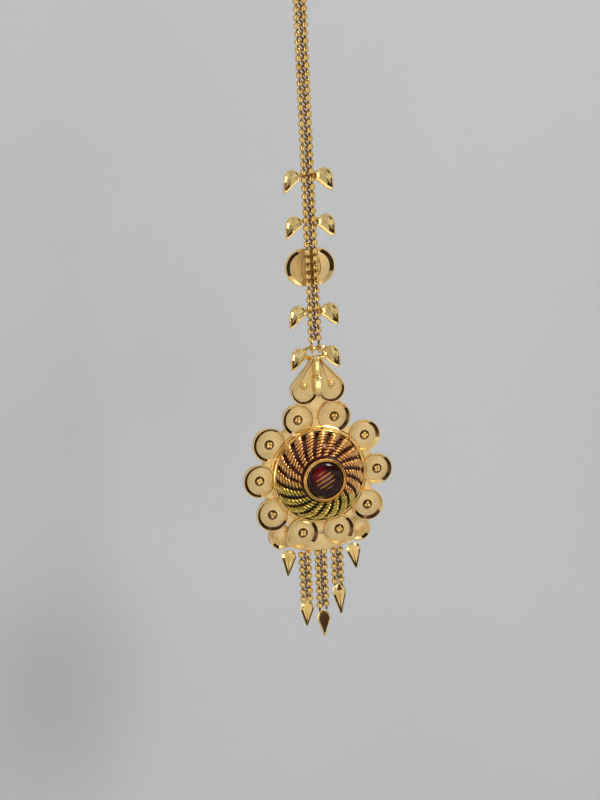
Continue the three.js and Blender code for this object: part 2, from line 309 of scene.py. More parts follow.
def repeat(master: Piece, places: Sequence[Matrix]) -> list[Piece]:
    """Copies a finished master to each place, each copy with its own mesh, and scraps the master.

    Args:
        master: What is copied.
        places: One move for each copy.

    Returns:
        The copies.
    """
    copies = []
    for place in places:
        twin = master.copy()
        twin.data = master.data.copy()
        twin.data.transform(place)
        if place.determinant() < 0:
            twin.data.flip_normals()
        bpy.context.scene.collection.objects.link(twin)
        copies.append(twin)
    bpy.data.objects.remove(master)
    return copies


def smooth(piece: Piece, angle: float = SMOOTH_ANGLE) -> Piece:
    """Shades a piece smooth, apart from its sharp edges."""
    pick_only(piece)
    bpy.ops.object.shade_smooth_by_angle(angle=angle)
    return piece


def mirror_all(pieces: Sequence[Piece]) -> None:
    """Turns pieces made for the right side into their left twins."""
    for piece in pieces:
        piece.data.transform(Matrix.Diagonal((-1, 1, 1, 1)))
        piece.data.flip_normals()


def moved(x: float = 0.0, y: float = 0.0, z: float = 0.0, turn: float = 0.0) -> Matrix:
    """A move on the bench, after a turn about the axis that points to the viewer."""
    return Matrix.Translation((x, y, z)) @ Matrix.Rotation(turn, 4, "Z")


def round_outline(radius: float, sides: int, x: float = 0.0, y: float = 0.0) -> list[FlatPoint]:
    """The points of a circle."""
    steps = [FULL_TURN * i / sides for i in range(sides)]
    return [(x + radius * math.cos(a), y + radius * math.sin(a)) for a in steps]


# ---------------------------------------------------------------- finishes


class Recipe:
    """Adds and wires the nodes of one material or node group."""

    def __init__(self, tree: bpy.types.NodeTree) -> None:
        """Takes the tree to work in."""
        self.tree = tree

    def add(self, kind: str, **values: object) -> bpy.types.Node:
        """Adds a node.

        Args:
            kind: The node's type, without its ShaderNode prefix.
            values: Properties of the node.

        Returns:
            The node.
        """
        node = self.tree.nodes.new("ShaderNode" + kind)
        for key, value in values.items():
            setattr(node, key, value)
        return node

    def wire(self, source: Wired, target: Wired) -> None:
        """Joins an output to an input."""
        self.tree.links.new(source, target)

    def feed(self, socket: Wired, value: object) -> None:
        """Wires a socket to another node's output, or sets it to a plain value."""
        if isinstance(value, Wired):
            self.wire(value, socket)
        else:
            socket.default_value = value

    def sum(self, operation: str, first: object, second: object = 0.0, clamp: bool = False) -> Wired:
        """One step of arithmetic on two numbers or outputs."""
        node = self.add("Math", operation=operation, use_clamp=clamp)
        self.feed(node.inputs[0], first)
        self.feed(node.inputs[1], second)
        return node.outputs[0]

    def noise(self, where: Wired, scale: object, detail: float = 2.0) -> Wired:
        """A soft random value from 0 to 1 that changes over the surface."""
        node = self.add("TexNoise")
        self.wire(where, node.inputs["Vector"])
        self.feed(node.inputs["Scale"], scale)
        node.inputs["Detail"].default_value = detail
        return node.outputs["Fac"]

    def ramp(self, value: Wired, low: float, high: float) -> Wired:
        """Stretches the stretch from low to high over 0 to 1, with soft ends."""
        node = self.add("MapRange", interpolation_type="SMOOTHSTEP")
        self.wire(value, node.inputs["Value"])
        node.inputs["From Min"].default_value = low
        node.inputs["From Max"].default_value = high
        return node.outputs["Result"]

    def roughen(self, height: Wired, shader: bpy.types.Node, strength: float) -> None:
        """Bumps a shader's surface by a height.

        Args:
            height: The height, from 0 to 1.
            shader: The Principled shader.
            strength: How strong the bump is.
        """
        bump = self.add("Bump")
        bump.inputs["Strength"].default_value = strength
        bump.inputs["Distance"].default_value = BUMP_DEPTH
        self.wire(height, bump.inputs["Height"])
        self.wire(bump.outputs["Normal"], shader.inputs["Normal"])

    def blend(self, share: object, first: object, second: object) -> Wired:
        """Mixes two colours."""
        node = self.add("Mix", data_type="RGBA")
        self.feed(node.inputs["Factor"], share)
        for name, colour in (("A", first), ("B", second)):
            self.feed(node.inputs[name], colour if isinstance(colour, Wired) else (*colour, 1.0))
        return next(o for o in node.outputs if o.type == "RGBA")


def hand_worked_metal() -> bpy.types.NodeTree:
    """The group that every metal shares: cloudy colour, uneven gloss, grain and scratches."""
    tree = bpy.data.node_groups.get("hand_worked_metal")
    if tree:
        return tree
    tree = bpy.data.node_groups.new("hand_worked_metal", "ShaderNodeTree")
    make_socket = tree.interface.new_socket
    for name, kind in (
        ("Where", "NodeSocketVector"),
        ("Colour", "NodeSocketColor"),
        ("Deep colour", "NodeSocketColor"),
        ("Roughness", "NodeSocketFloat"),
        ("Unevenness", "NodeSocketFloat"),
        ("Grain scale", "NodeSocketFloat"),
        ("Cloud scale", "NodeSocketFloat"),
    ):
        make_socket(name, in_out="INPUT", socket_type=kind)
    for name, kind in (
        ("Colour", "NodeSocketColor"),
        ("Roughness", "NodeSocketFloat"),
        ("Height", "NodeSocketFloat"),
    ):
        make_socket(name, in_out="OUTPUT", socket_type=kind)
    recipe = Recipe(tree)
    given = tree.nodes.new("NodeGroupInput")
    made = tree.nodes.new("NodeGroupOutput")
    where = given.outputs["Where"]
    cloud = recipe.ramp(recipe.noise(where, given.outputs["Cloud scale"], 3.0), 0.42, 0.75)
    grain = recipe.noise(where, given.outputs["Grain scale"], 4.0)
    stretch = recipe.add("Mapping")
    recipe.wire(where, stretch.inputs["Vector"])
    stretch.inputs["Scale"].default_value = (1.0, 1.0, 9.0)
    stretch.inputs["Rotation"].default_value = (0.0, math.radians(35), 0.0)
    scratch = recipe.ramp(recipe.noise(stretch.outputs["Vector"], 900.0, 3.0), 0.6, 0.75)
    colour = recipe.blend(cloud, given.outputs["Colour"], given.outputs["Deep colour"])
    swing = recipe.sum("MULTIPLY", recipe.sum("SUBTRACT", grain, 0.5), given.outputs["Unevenness"])
    rough = recipe.sum("ADD", given.outputs["Roughness"], swing)
    scuffed = recipe.sum("ADD", rough, recipe.sum("MULTIPLY", scratch, 0.06), clamp=True)
    height = recipe.sum("SUBTRACT", grain, recipe.sum("MULTIPLY", scratch, 0.5))
    recipe.wire(colour, made.inputs["Colour"])
    recipe.wire(scuffed, made.inputs["Roughness"])
    recipe.wire(height, made.inputs["Height"])
    return tree


def new_material(name: str) -> tuple[Recipe, bpy.types.Node]:
    """Starts a material with one Principled shader.

    Args:
        name: The material's name.

    Returns:
        The recipe that fills it, and its shader.
    """
    material = bpy.data.materials.new(name)
    material.use_nodes = True
    tree = material.node_tree
    shader = next(n for n in tree.nodes if n.type == "BSDF_PRINCIPLED")
    return Recipe(tree), shader


@dataclass(frozen=True)
class GoldFinish:
    """One way that the gold is left: its colours, gloss and grain.

    Grain and cloud scales count spots in each metre.
    """

    name: str
    colour: Colour
    deep: Colour
    roughness: float
    unevenness: float = 0.1
    grain_scale: float = 7000.0
    grain_height: float = 0.15
    cloud_scale: float = 350.0

    def build(self) -> bpy.types.Material:
        """Makes the material."""
        recipe, shader = new_material(self.name)
        where = recipe.add("TexCoord").outputs["Object"]
        group = recipe.add("Group", node_tree=hand_worked_metal())
        recipe.wire(where, group.inputs["Where"])
        group.inputs["Colour"].default_value = (*self.colour, 1.0)
        group.inputs["Deep colour"].default_value = (*self.deep, 1.0)
        group.inputs["Roughness"].default_value = self.roughness
        group.inputs["Unevenness"].default_value = self.unevenness
        group.inputs["Grain scale"].default_value = self.grain_scale
        group.inputs["Cloud scale"].default_value = self.cloud_scale
        recipe.roughen(group.outputs["Height"], shader, self.grain_height)
        recipe.wire(group.outputs["Colour"], shader.inputs["Base Color"])
        recipe.wire(group.outputs["Roughness"], shader.inputs["Roughness"])
        shader.inputs["Metallic"].default_value = 1.0
        return bpy.data.materials[self.name]


@dataclass(frozen=True)
class LacquerFinish:
    """Clear lacquer over gold: red on the upper part of the dome and green on the lower part."""

    name: str
    red: Colour
    red_deep: Colour
    green: Colour
    green_deep: Colour
    centre: Point
    radius: float
    roughness: float
    coat: float
    metallic: float = 1.0
    fall: FlatPoint = (0.26, 0.966)
    border: float = -0.26
    soft: float = 0.12
    grain_height: float = 0.2

    def build(self) -> bpy.types.Material:
        """Makes the material."""
        recipe, shader = new_material(self.name)
        where = recipe.add("TexCoord").outputs["Object"]
        centred = recipe.add("Mapping")
        recipe.wire(where, centred.inputs["Vector"])
        centred.inputs["Location"].default_value = tuple(-c / self.radius for c in self.centre)
        centred.inputs["Scale"].default_value = (1 / self.radius,) * 3
        parts = recipe.add("SeparateXYZ")
        recipe.wire(centred.outputs["Vector"], parts.inputs["Vector"])
        across = recipe.sum("MULTIPLY", parts.outputs["X"], self.fall[0])
        along = recipe.sum("MULTIPLY", parts.outputs["Z"], self.fall[1])
        wander = recipe.sum("MULTIPLY", recipe.sum("SUBTRACT", recipe.noise(where, 260.0), 0.5), 0.5)
        height = recipe.sum("ADD", recipe.sum("ADD", across, along), wander)
        share = recipe.ramp(height, self.border - self.soft, self.border + self.soft)
        pool = recipe.ramp(recipe.noise(where, 1500.0, 3.0), 0.4, 0.7)
        red = recipe.blend(pool, self.red, self.red_deep)
        green = recipe.blend(pool, self.green, self.green_deep)
        recipe.wire(recipe.blend(share, green, red), shader.inputs["Base Color"])
        grain = recipe.noise(where, 5200.0, 3.0)
        rough = recipe.sum("ADD", self.roughness, recipe.sum("MULTIPLY", grain, 0.12))
        recipe.wire(rough, shader.inputs["Roughness"])
        recipe.roughen(grain, shader, self.grain_height)
        shader.inputs["Metallic"].default_value = self.metallic
        shader.inputs["Coat Weight"].default_value = self.coat
        shader.inputs["Coat Roughness"].default_value = 0.08
        return bpy.data.materials[self.name]


@dataclass(frozen=True)
class GarnetFinish:
    """A deep red stone with a painted glow at its upper left and painted streaks of reflected light,
    both in its base colour.
    """

    name: str
    deep: Colour
    painted_glow: Colour
    painted_glow_at: Point
    painted_glow_reach: float
    painted_streak: Colour
    painted_streak_at: Point
    painted_streak_reach: FlatPoint
    painted_streak_pitch: float
    painted_streak_lean: float

    def build(self) -> bpy.types.Material:
        """Makes the material."""
        recipe, shader = new_material(self.name)
        where = recipe.add("TexCoord").outputs["Object"]
        offset = recipe.add("VectorMath", operation="DISTANCE")
        recipe.wire(where, offset.inputs[0])
        offset.inputs[1].default_value = self.painted_glow_at
        near = recipe.ramp(offset.outputs["Value"], self.painted_glow_reach, 0.2 * self.painted_glow_reach)
        cloud = recipe.ramp(recipe.noise(where, 900.0, 2.0), 0.3, 0.7)
        patchy = recipe.sum("ADD", recipe.sum("MULTIPLY", cloud, 0.4), 0.6)
        lit = recipe.sum("MULTIPLY", near, patchy)
        # Painted glow: the base colour brightens to red near one point.
        glowing = recipe.blend(lit, self.deep, self.painted_glow)
        # Painted reflection: slanted bright streaks in the base colour.
        streaked = recipe.blend(self.painted_streak_mask(recipe, where), glowing, self.painted_streak)
        recipe.wire(streaked, shader.inputs["Base Color"])
        haze = recipe.sum("ADD", 0.03, recipe.sum("MULTIPLY", recipe.noise(where, 4000.0), 0.04))
        recipe.wire(haze, shader.inputs["Roughness"])
        shader.inputs["IOR"].default_value = 1.5
        shader.inputs["Specular IOR Level"].default_value = 0.3
        return bpy.data.materials[self.name]

    def painted_streak_mask(self, recipe: Recipe, where: Wired) -> Wired:
        """Painted slanted streaks of reflected light, inside an oval.

        Args:
            recipe: The material's recipe.
            where: The place on the stone.

        Returns:
            1 on a streak and 0 off it.
        """
        turned = recipe.add("Mapping", vector_type="TEXTURE")
        recipe.wire(where, turned.inputs["Vector"])
        turned.inputs["Location"].default_value = self.painted_streak_at
        turned.inputs["Rotation"].default_value = (0.0, self.painted_streak_lean, 0.0)
        parts = recipe.add("SeparateXYZ")
        recipe.wire(turned.outputs["Vector"], parts.inputs["Vector"])
        along, across = parts.outputs["X"], parts.outputs["Z"]
        waver = recipe.sum("MULTIPLY", recipe.noise(where, 1400.0), 0.3)
        turns = recipe.sum("MULTIPLY", across, FULL_TURN / self.painted_streak_pitch)
        phase = recipe.sum("ADD", turns, waver)
        band = recipe.ramp(recipe.sum("COSINE", phase), 0.25, 0.95)
        far_x = recipe.sum("POWER", recipe.sum("DIVIDE", along, self.painted_streak_reach[0]), 2.0)
        far_z = recipe.sum("POWER", recipe.sum("DIVIDE", across, self.painted_streak_reach[1]), 2.0)
        oval = recipe.ramp(recipe.sum("ADD", far_x, far_z), 1.1, 0.6)
        return recipe.sum("MULTIPLY", band, oval)


class Finish(Enum):
    """The finishes that a face can be given."""

    SATIN = "stamped_satin"
    POLISHED = "burnished_gold"
    FACET = "facet_gold"
    # Painted dark reflection and painted shade, in one near-black gold.
    PAINTED_DARK = "painted_dark_reflection_and_shade"
    ENGRAVED = "engraved_gold"
    # Painted shade for the small inner chain links.
    SHADED = "painted_shade_gold"
    DOME_WIRE = "lacquered_wire"
    DOME_GROUND = "lacquer_and_painted_shade_ground"
    GARNET = "garnet_stone"


GOLD_FINISHES = (
    GoldFinish(
        Finish.SATIN.value,
        colour=(0.92, 0.67, 0.31),
        deep=(0.82, 0.57, 0.23),
        roughness=0.40,
        unevenness=0.12,
        grain_scale=6500.0,
        grain_height=0.35,
    ),
    GoldFinish(
        Finish.POLISHED.value,
        colour=(0.95, 0.66, 0.24),
        deep=(0.84, 0.53, 0.15),
        roughness=0.14,
        unevenness=0.06,
        grain_scale=4200.0,
        grain_height=0.1,
    ),
    GoldFinish(
        Finish.FACET.value,
        colour=(0.98, 0.75, 0.32),
        deep=(0.90, 0.64, 0.22),
        roughness=0.12,
        unevenness=0.05,
        grain_scale=3800.0,
        grain_height=0.06,
    ),
    # A near-black gold: painted dark reflection on mirror-cut bevels and facets, and painted shade
    # in small recesses.
    GoldFinish(
        Finish.PAINTED_DARK.value,
        colour=(0.09, 0.045, 0.02),
        deep=(0.04, 0.02, 0.009),
        roughness=0.17,
        unevenness=0.06,
        grain_scale=5200.0,
        grain_height=0.1,
    ),
    GoldFinish(
        Finish.ENGRAVED.value,
        colour=(0.88, 0.60, 0.22),
        deep=(0.68, 0.42, 0.12),
        roughness=0.32,
        unevenness=0.12,
        grain_scale=6500.0,
        grain_height=0.3,
    ),
    # A dark gold that puts painted shade, the shade in the gaps between the chain's barrels, on the
    # small inner links.
    GoldFinish(
        Finish.SHADED.value,
        colour=(0.30, 0.16, 0.045),
        deep=(0.15, 0.07, 0.018),
        roughness=0.3,
        unevenness=0.1,
        grain_scale=5200.0,
        grain_height=0.2,
    ),
)


@dataclass
class FinishRack:
    """Holds every finish, built once."""

    dome_centre: Point
    dome_radius: float
    stone_centre: Point
    built: dict[Finish, bpy.types.Material] = field(default_factory=dict)

    def mix_all(self) -> None:
        """Builds every finish."""
        for gold in GOLD_FINISHES:
            self.built[Finish(gold.name)] = gold.build()
        self.built[Finish.DOME_WIRE] = LacquerFinish(
            Finish.DOME_WIRE.value,
            red=(0.90, 0.54, 0.20),
            red_deep=(0.70, 0.32, 0.08),
            green=(0.78, 0.58, 0.13),
            green_deep=(0.45, 0.32, 0.04),
            centre=self.dome_centre,
            radius=self.dome_radius,
            roughness=0.16,
            coat=0.5,
        ).build()
        # The ground's red and green are the lacquer's own; its darkness is painted shade between the
        # ribs.
        self.built[Finish.DOME_GROUND] = LacquerFinish(
            Finish.DOME_GROUND.value,
            red=(0.09, 0.016, 0.006),
            red_deep=(0.04, 0.006, 0.003),
            green=(0.03, 0.026, 0.005),
            green_deep=(0.012, 0.010, 0.003),
            centre=self.dome_centre,
            radius=self.dome_radius,
            roughness=0.3,
            coat=0.6,
        ).build()
        x, y, z = self.stone_centre
        # The garnet's glow and streaks are painted light in its base colour.
        self.built[Finish.GARNET] = GarnetFinish(
            Finish.GARNET.value,
            deep=(0.020, 0.0012, 0.0008),
            painted_glow=(0.20, 0.003, 0.010),
            painted_glow_at=(x - 1.1 * MM, y, z + 1.2 * MM),
            painted_glow_reach=2.0 * MM,
            painted_streak=(0.55, 0.20, 0.03),
            painted_streak_at=(x - 0.1 * MM, y, z + 0.1 * MM),
            painted_streak_reach=(1.9 * MM, 1.7 * MM),
            painted_streak_pitch=0.78 * MM,
            painted_streak_lean=math.radians(-28),
        ).build()

    def coat_all(self, piece: Piece, finish: Finish) -> None:
        """Gives a whole piece one finish."""
        piece.data.materials.clear()
        piece.data.materials.append(self.built[finish])

    def finished(self, piece: Piece, finish: Finish, angle: float = SMOOTH_ANGLE) -> Piece:
        """Gives a whole piece one finish and smooth shading."""
        self.coat_all(piece, finish)
        return smooth(piece, angle)

    def coat_picked(self, piece: Piece, finish: Finish) -> None:
        """Gives the faces selected in edit mode a finish."""
        material = self.built[finish]
        names = [slot.name for slot in piece.data.materials]
        if material.name not in names:
            piece.data.materials.append(material)
            names.append(material.name)
        piece.active_material_index = names.index(material.name)
        bpy.ops.object.material_slot_assign()


@dataclass
class Jeweller:
    """Sets finished pieces in the jewel."""

    rack: FinishRack

    def set_piece(
        self, piece: Piece, place: Place, body: Body, nodes: Sequence[str]
    ) -> Piece:
        """Stands a piece up in its place and declares what it rides on and replaces.

        Args:
            piece: The finished piece, on the bench.
            place: Where it goes.
            body: The body that it rides on.
            nodes: The CAD nodes that it stands for.

        Returns:
            The piece.
        """
        piece.data.transform(place.matrix())
        piece.data.update()
        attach(piece, body.value)
        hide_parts(*nodes)
        log.info("%s: %d faces, rides on %s", piece.name, len(piece.data.polygons), body.value)
        return piece


# ---------------------------------------------------------------- cups with a sunk face


@dataclass(frozen=True)
class Cup:
    """A stamped cup: a wall, a rolled lip, a cut bevel and a sunk satin face, with painted dark
    reflection on chosen parts of the bevel.
    """

    back: float
    front: float
    lip: float
    bevel: float
    sunk: float
    shift: float = 0.0
    flare: float = 1.0
    edge: float = 0.12
    collar: float = 0.2
    foot_share: float = 0.4
    floor_edge: FlatPoint = (0.07, 0.03)

    def raise_from(
        self,
        sheet: Piece,
        rack: FinishRack,
        cut: Callable[[Vector], bool],
        toward: FlatPoint,
        about: FlatPoint = (0.0, 0.0),
    ) -> Piece:
        """Works a flat sheet up into the cup.

        Args:
            sheet: The sheet, at the cup's back.
            rack: The finishes.
            cut: Says which places on the bevel are painted dark, as a painted reflection in the
                mirror cut.
            toward: The direction that the bevel is widest in, as a unit vector.
            about: The point in plan that the wall flares about.

        Returns:
            The cup.
        """
        rack.coat_all(sheet, Finish.SATIN)
        rise = self.front - self.back
        flared = (1 - self.foot_share) * rise - self.edge - self.collar
        with editing(sheet):
            lift(self.foot_share * rise)
            push_up(flared, self.flare, about)
            lift(self.collar)
            inset(self.edge * 0.6, self.edge)
            inset(self.lip, 0)
            rack.coat_picked(sheet, Finish.SATIN)
            inset(self.bevel, -self.sunk)
            slide = (-self.shift * toward[0], -self.shift * toward[1], 0)
            bpy.ops.transform.translate(value=slide)
            inset(*self.floor_edge)
            rack.coat_picked(sheet, Finish.SATIN)
        with editing(sheet):
            top, floor = self.front, self.front - self.sunk
            on_bevel = (top + floor) / 2

            def wanted(centre: Vector, normal: Vector) -> bool:
                steep = abs(normal.z) < 0.97 and normal.z > 0.05
                return steep and abs(centre.z - on_bevel) < 0.3 * (top - floor) and cut(centre)

            # The chosen bevel faces get the near-black finish: a painted dark reflection.
            pick_faces(sheet, wanted)
            rack.coat_picked(sheet, Finish.PAINTED_DARK)
        return smooth(sheet)


def engraved_lines(rack: FinishRack, chords: Sequence[Chord], height: float, wide: float) -> Piece:
    """Raises the burrs that a graver leaves along straight lines.

    Args:
        rack: The finishes.
        chords: Each line's two ends.
        height: The face that the lines are on.
        wide: How wide a line is.

    Returns:
        All the lines as one piece.
    """
    bpy.ops.mesh.primitive_cylinder_add(vertices=6, radius=0.5, depth=1, end_fill_type="TRIFAN")
    master = bpy.context.object
    with editing(master):
        bpy.ops.transform.rotate(value=math.pi / 2, orient_axis="Y", center_override=(0, 0, 0))
        bpy.ops.transform.resize(value=(1, wide, wide * 0.55))
    places = []
    for (x0, y0), (x1, y1) in chords:
        length = math.hypot(x1 - x0, y1 - y0)
        turn = math.atan2(y1 - y0, x1 - x0)
        middle = moved((x0 + x1) / 2, (y0 + y1) / 2, height, turn)
        places.append(middle @ Matrix.Diagonal((length, 1, 1, 1)))
    return rack.finished(fuse("lines", repeat(master, places)), Finish.ENGRAVED)


def chords_across(
    radius: float, pitch: float, turn: float, low: float = -1.0, high: float = 1.0
) -> list[Chord]:
    """Parallel lines across a round face.

    Args:
        radius: The face's radius.
        pitch: The distance between lines.
        turn: The lines' direction.
        low: Where the lines begin across the face, as a share of its radius.
        high: Where they end.

    Returns:
        The two ends of each line.
    """
    chords = []
    count = int(2 * radius / pitch)
    for i in range(count):
        offset = -radius + (i + 0.5) * pitch
        if not low * radius <= offset <= high * radius:
            continue
        half = 0.92 * math.sqrt(max(radius**2 - offset**2, 0.0))
        if half < 0.3:
            continue
        ends = []
        for along in (-half, half):
            x = along * math.cos(turn) - offset * math.sin(turn)
            y = along * math.sin(turn) + offset * math.cos(turn)
            ends.append((x, y))
        chords.append((ends[0], ends[1]))
    return chords


def granule_cluster(
    rack: FinishRack, lobe: float, spread: float, count: int, turn: float
) -> list[Piece]:
    """A little flower of granules.

    Args:
        rack: The finishes.
        lobe: A granule's radius.
        spread: How far each granule is from the middle.
        count: How many granules.
        turn: Where the first one is.

    Returns:
        The granules, standing on the bench.
    """
    ball = rack.finished(make_ball("granule", lobe, 0.9, 14), Finish.POLISHED)
    angles = [turn + FULL_TURN * i / count for i in range(count)]
    return repeat(ball, [moved(spread * math.cos(a), spread * math.sin(a)) for a in angles])


# ---------------------------------------------------------------- chain and hook


@dataclass
class DoubleChain:
    """Two rows of barrel links, joined in the middle by small slanted links that carry painted shade
    for the chain's gaps.
    """

    pitch: float = 1.44
    barrel_radius: float = 0.36
    barrel_wire: float = 0.27
    barrel_tall: float = 2.05
    row_spread: float = 0.69
    row_delay: float = -0.12
    joiner_radius: float = 0.36
    joiner_wire: float = 0.13
    slant_radius: float = 0.40
    slant_lean: float = math.radians(40)
    slant_tip: float = math.radians(66)
    slant_at: FlatPoint = (0.08, 0.10)
    barrel_sides: tuple[int, int] = (16, 8)
    link_sides: tuple[int, int] = (12, 6)
    loose: FlatPoint = (0.10, 0.16)
    edge_loose: float = 0.2

    def row(
        self, rack: FinishRack, top: float, foot: float, x: float, delay: float, seed: int
    ) -> list[Piece]:
        """Makes one row of the chain.

        Args:
            rack: The finishes.
            top: The height of the row's top.
            foot: The height of its foot.
            x: How far the row stands from the chain's middle.
            delay: How far the first link is below the top, as a share of the pitch.
            seed: Sets how each link is turned.

        Returns:
            The row's links.
        """
        rng = random.Random(seed)
        count = max(1, int((top - foot) / self.pitch - delay + 0.35))
        shape = (self.barrel_radius, self.barrel_wire, self.barrel_tall)
        barrel = rack.finished(make_link_ring("barrel", *shape, self.barrel_sides), Finish.POLISHED)
        lay_down = Matrix.Rotation(math.pi / 2, 4, "X")
        places = []
        between = []
        for i in range(count):
            y = top - (i + 0.5 + delay) * self.pitch
            lean, tip = (rng.uniform(-play, play) for play in self.loose)
            turned = Matrix.Rotation(lean, 4, "Z") @ Matrix.Rotation(tip, 4, "X")
            places.append(Matrix.Translation((x, y, 0)) @ turned @ lay_down)
            swing = rng.uniform(-self.edge_loose, self.edge_loose)
            on_edge = Matrix.Rotation(math.pi / 2, 4, "Y") @ Matrix.Rotation(swing, 4, "X")
            between.append(Matrix.Translation((x, y - self.pitch / 2, 0)) @ on_edge)
        shape = (self.joiner_radius, self.joiner_wire, 1.0)
        joiner = make_link_ring("joiner", *shape, self.link_sides)
        # The joining links are painted dark: painted shade between the barrels.
        rack.finished(joiner, Finish.SHADED)
        return repeat(barrel, places) + repeat(joiner, between)

    def slanted(self, rack: FinishRack, top: float, foot: float) -> list[Piece]:
        """The small links that zigzag between the rows."""
        shape = (self.slant_radius, self.joiner_wire, 1.0)
        link = make_link_ring("slant", *shape, self.link_sides)
        # The slanted links are painted dark too: painted shade between the rows.
        rack.finished(link, Finish.SHADED)
        places = []
        for i in range(int((top - foot) / self.pitch * 2) - 1):
            side = 1 if i % 2 else -1
            lean = Matrix.Rotation(side * self.slant_lean, 4, "Z")
            tilt = lean @ Matrix.Rotation(self.slant_tip, 4, "Y")
            y = top - (i + 1) * self.pitch / 2
            x, z = self.slant_at
            places.append(Matrix.Translation((side * x, y, z)) @ tilt)
        return repeat(link, places)

    def build(
        self, name: str, rack: FinishRack, top: float, foot: float, x: float = 0.0, seed: int = 1
    ) -> Piece:
        """Makes a length of chain on the bench.

        Args:
            name: The piece's name.
            rack: The finishes.
            top: The height of its top.
            foot: The height of its foot.
            x: Where its middle is.
            seed: Sets how the links are turned.

        Returns:
            The chain.
        """
        links = self.row(rack, top, foot, -self.row_spread, 0.0, seed)
        links += self.row(rack, top, foot, self.row_spread, self.row_delay, seed + 1)
        links += self.slanted(rack, top, foot)
        chain = fuse(name, links)
        chain.data.transform(Matrix.Translation((x, 0, 0)))
        return chain


@dataclass
class HairHook:
    """The plain wire hook that the jewel hangs on, with its cross bar."""

    wire: float = 1.1
    inner_width: float = 5.0
    leg: float = 2.3
    flick: float = 0.5
    shank_foot: float = -8.4
    bar_height: float = -11.2
    bar_half: float = 2.1
    bar_wire: float = 0.8

    def crook_route(self) -> list[Point]:
        """The line of the crook and shank."""
        reach = (self.inner_width + self.wire) / 2
        middle = self.wire / 2 - reach
        leg_foot = middle - self.leg
        route: list[Point] = [
            (-reach - self.flick, leg_foot - self.flick, 0),
            (-reach, leg_foot + self.flick, 0),
        ]
        for i in range(9):
            angle = math.pi * (1 - i / 8)
            route.append((reach * math.cos(angle), middle + reach * math.sin(angle), 0))
        route.append((reach, leg_foot, 0))
        route.append((reach * 0.45, (leg_foot + self.shank_foot) / 2 - self.flick, 0))
        route.append((0, self.shank_foot, 0))
        return route

    def build(self, jeweller: Jeweller, origin: Place) -> None:
        """Bends the hook and sets it."""
        crook = bend_wire("crook", self.crook_route(), self.wire, fine=4)
        apex = self.shank_foot + self.bar_wire / 2
        corner = 0.35
        loop: list[Point] = [
            (0, apex, 0),
            (-self.bar_half + corner, self.bar_height + 2 * corner, 0),
            (-self.bar_half, self.bar_height + 0.5 * corner, 0),
            (-self.bar_half + corner, self.bar_height, 0),
            (self.bar_half - corner, self.bar_height, 0),
            (self.bar_half, self.bar_height + 0.5 * corner, 0),
            (self.bar_half - corner, self.bar_height + 2 * corner, 0),
        ]
        stirrup = bend_wire("stirrup", loop, self.bar_wire, closed=True, fine=3)
        tip = make_ball("tip", self.wire / 2 * 1.15, 1.0, 16)
        first = self.crook_route()[0]
        tip.data.transform(Matrix.Translation(first))
        collar = make_ball("collar", self.wire / 2 * 1.3, 1.0, 16)
        collar.data.transform(Matrix.Translation((0, self.shank_foot, 0)))
        hook = smooth(fuse("hair_hook", [crook, stirrup, tip, collar]))
        jeweller.rack.coat_all(hook, Finish.POLISHED)
        jeweller.set_piece(hook, origin, Body.CHAIN, ["hook"])


# ---------------------------------------------------------------- leaves and the twin disc


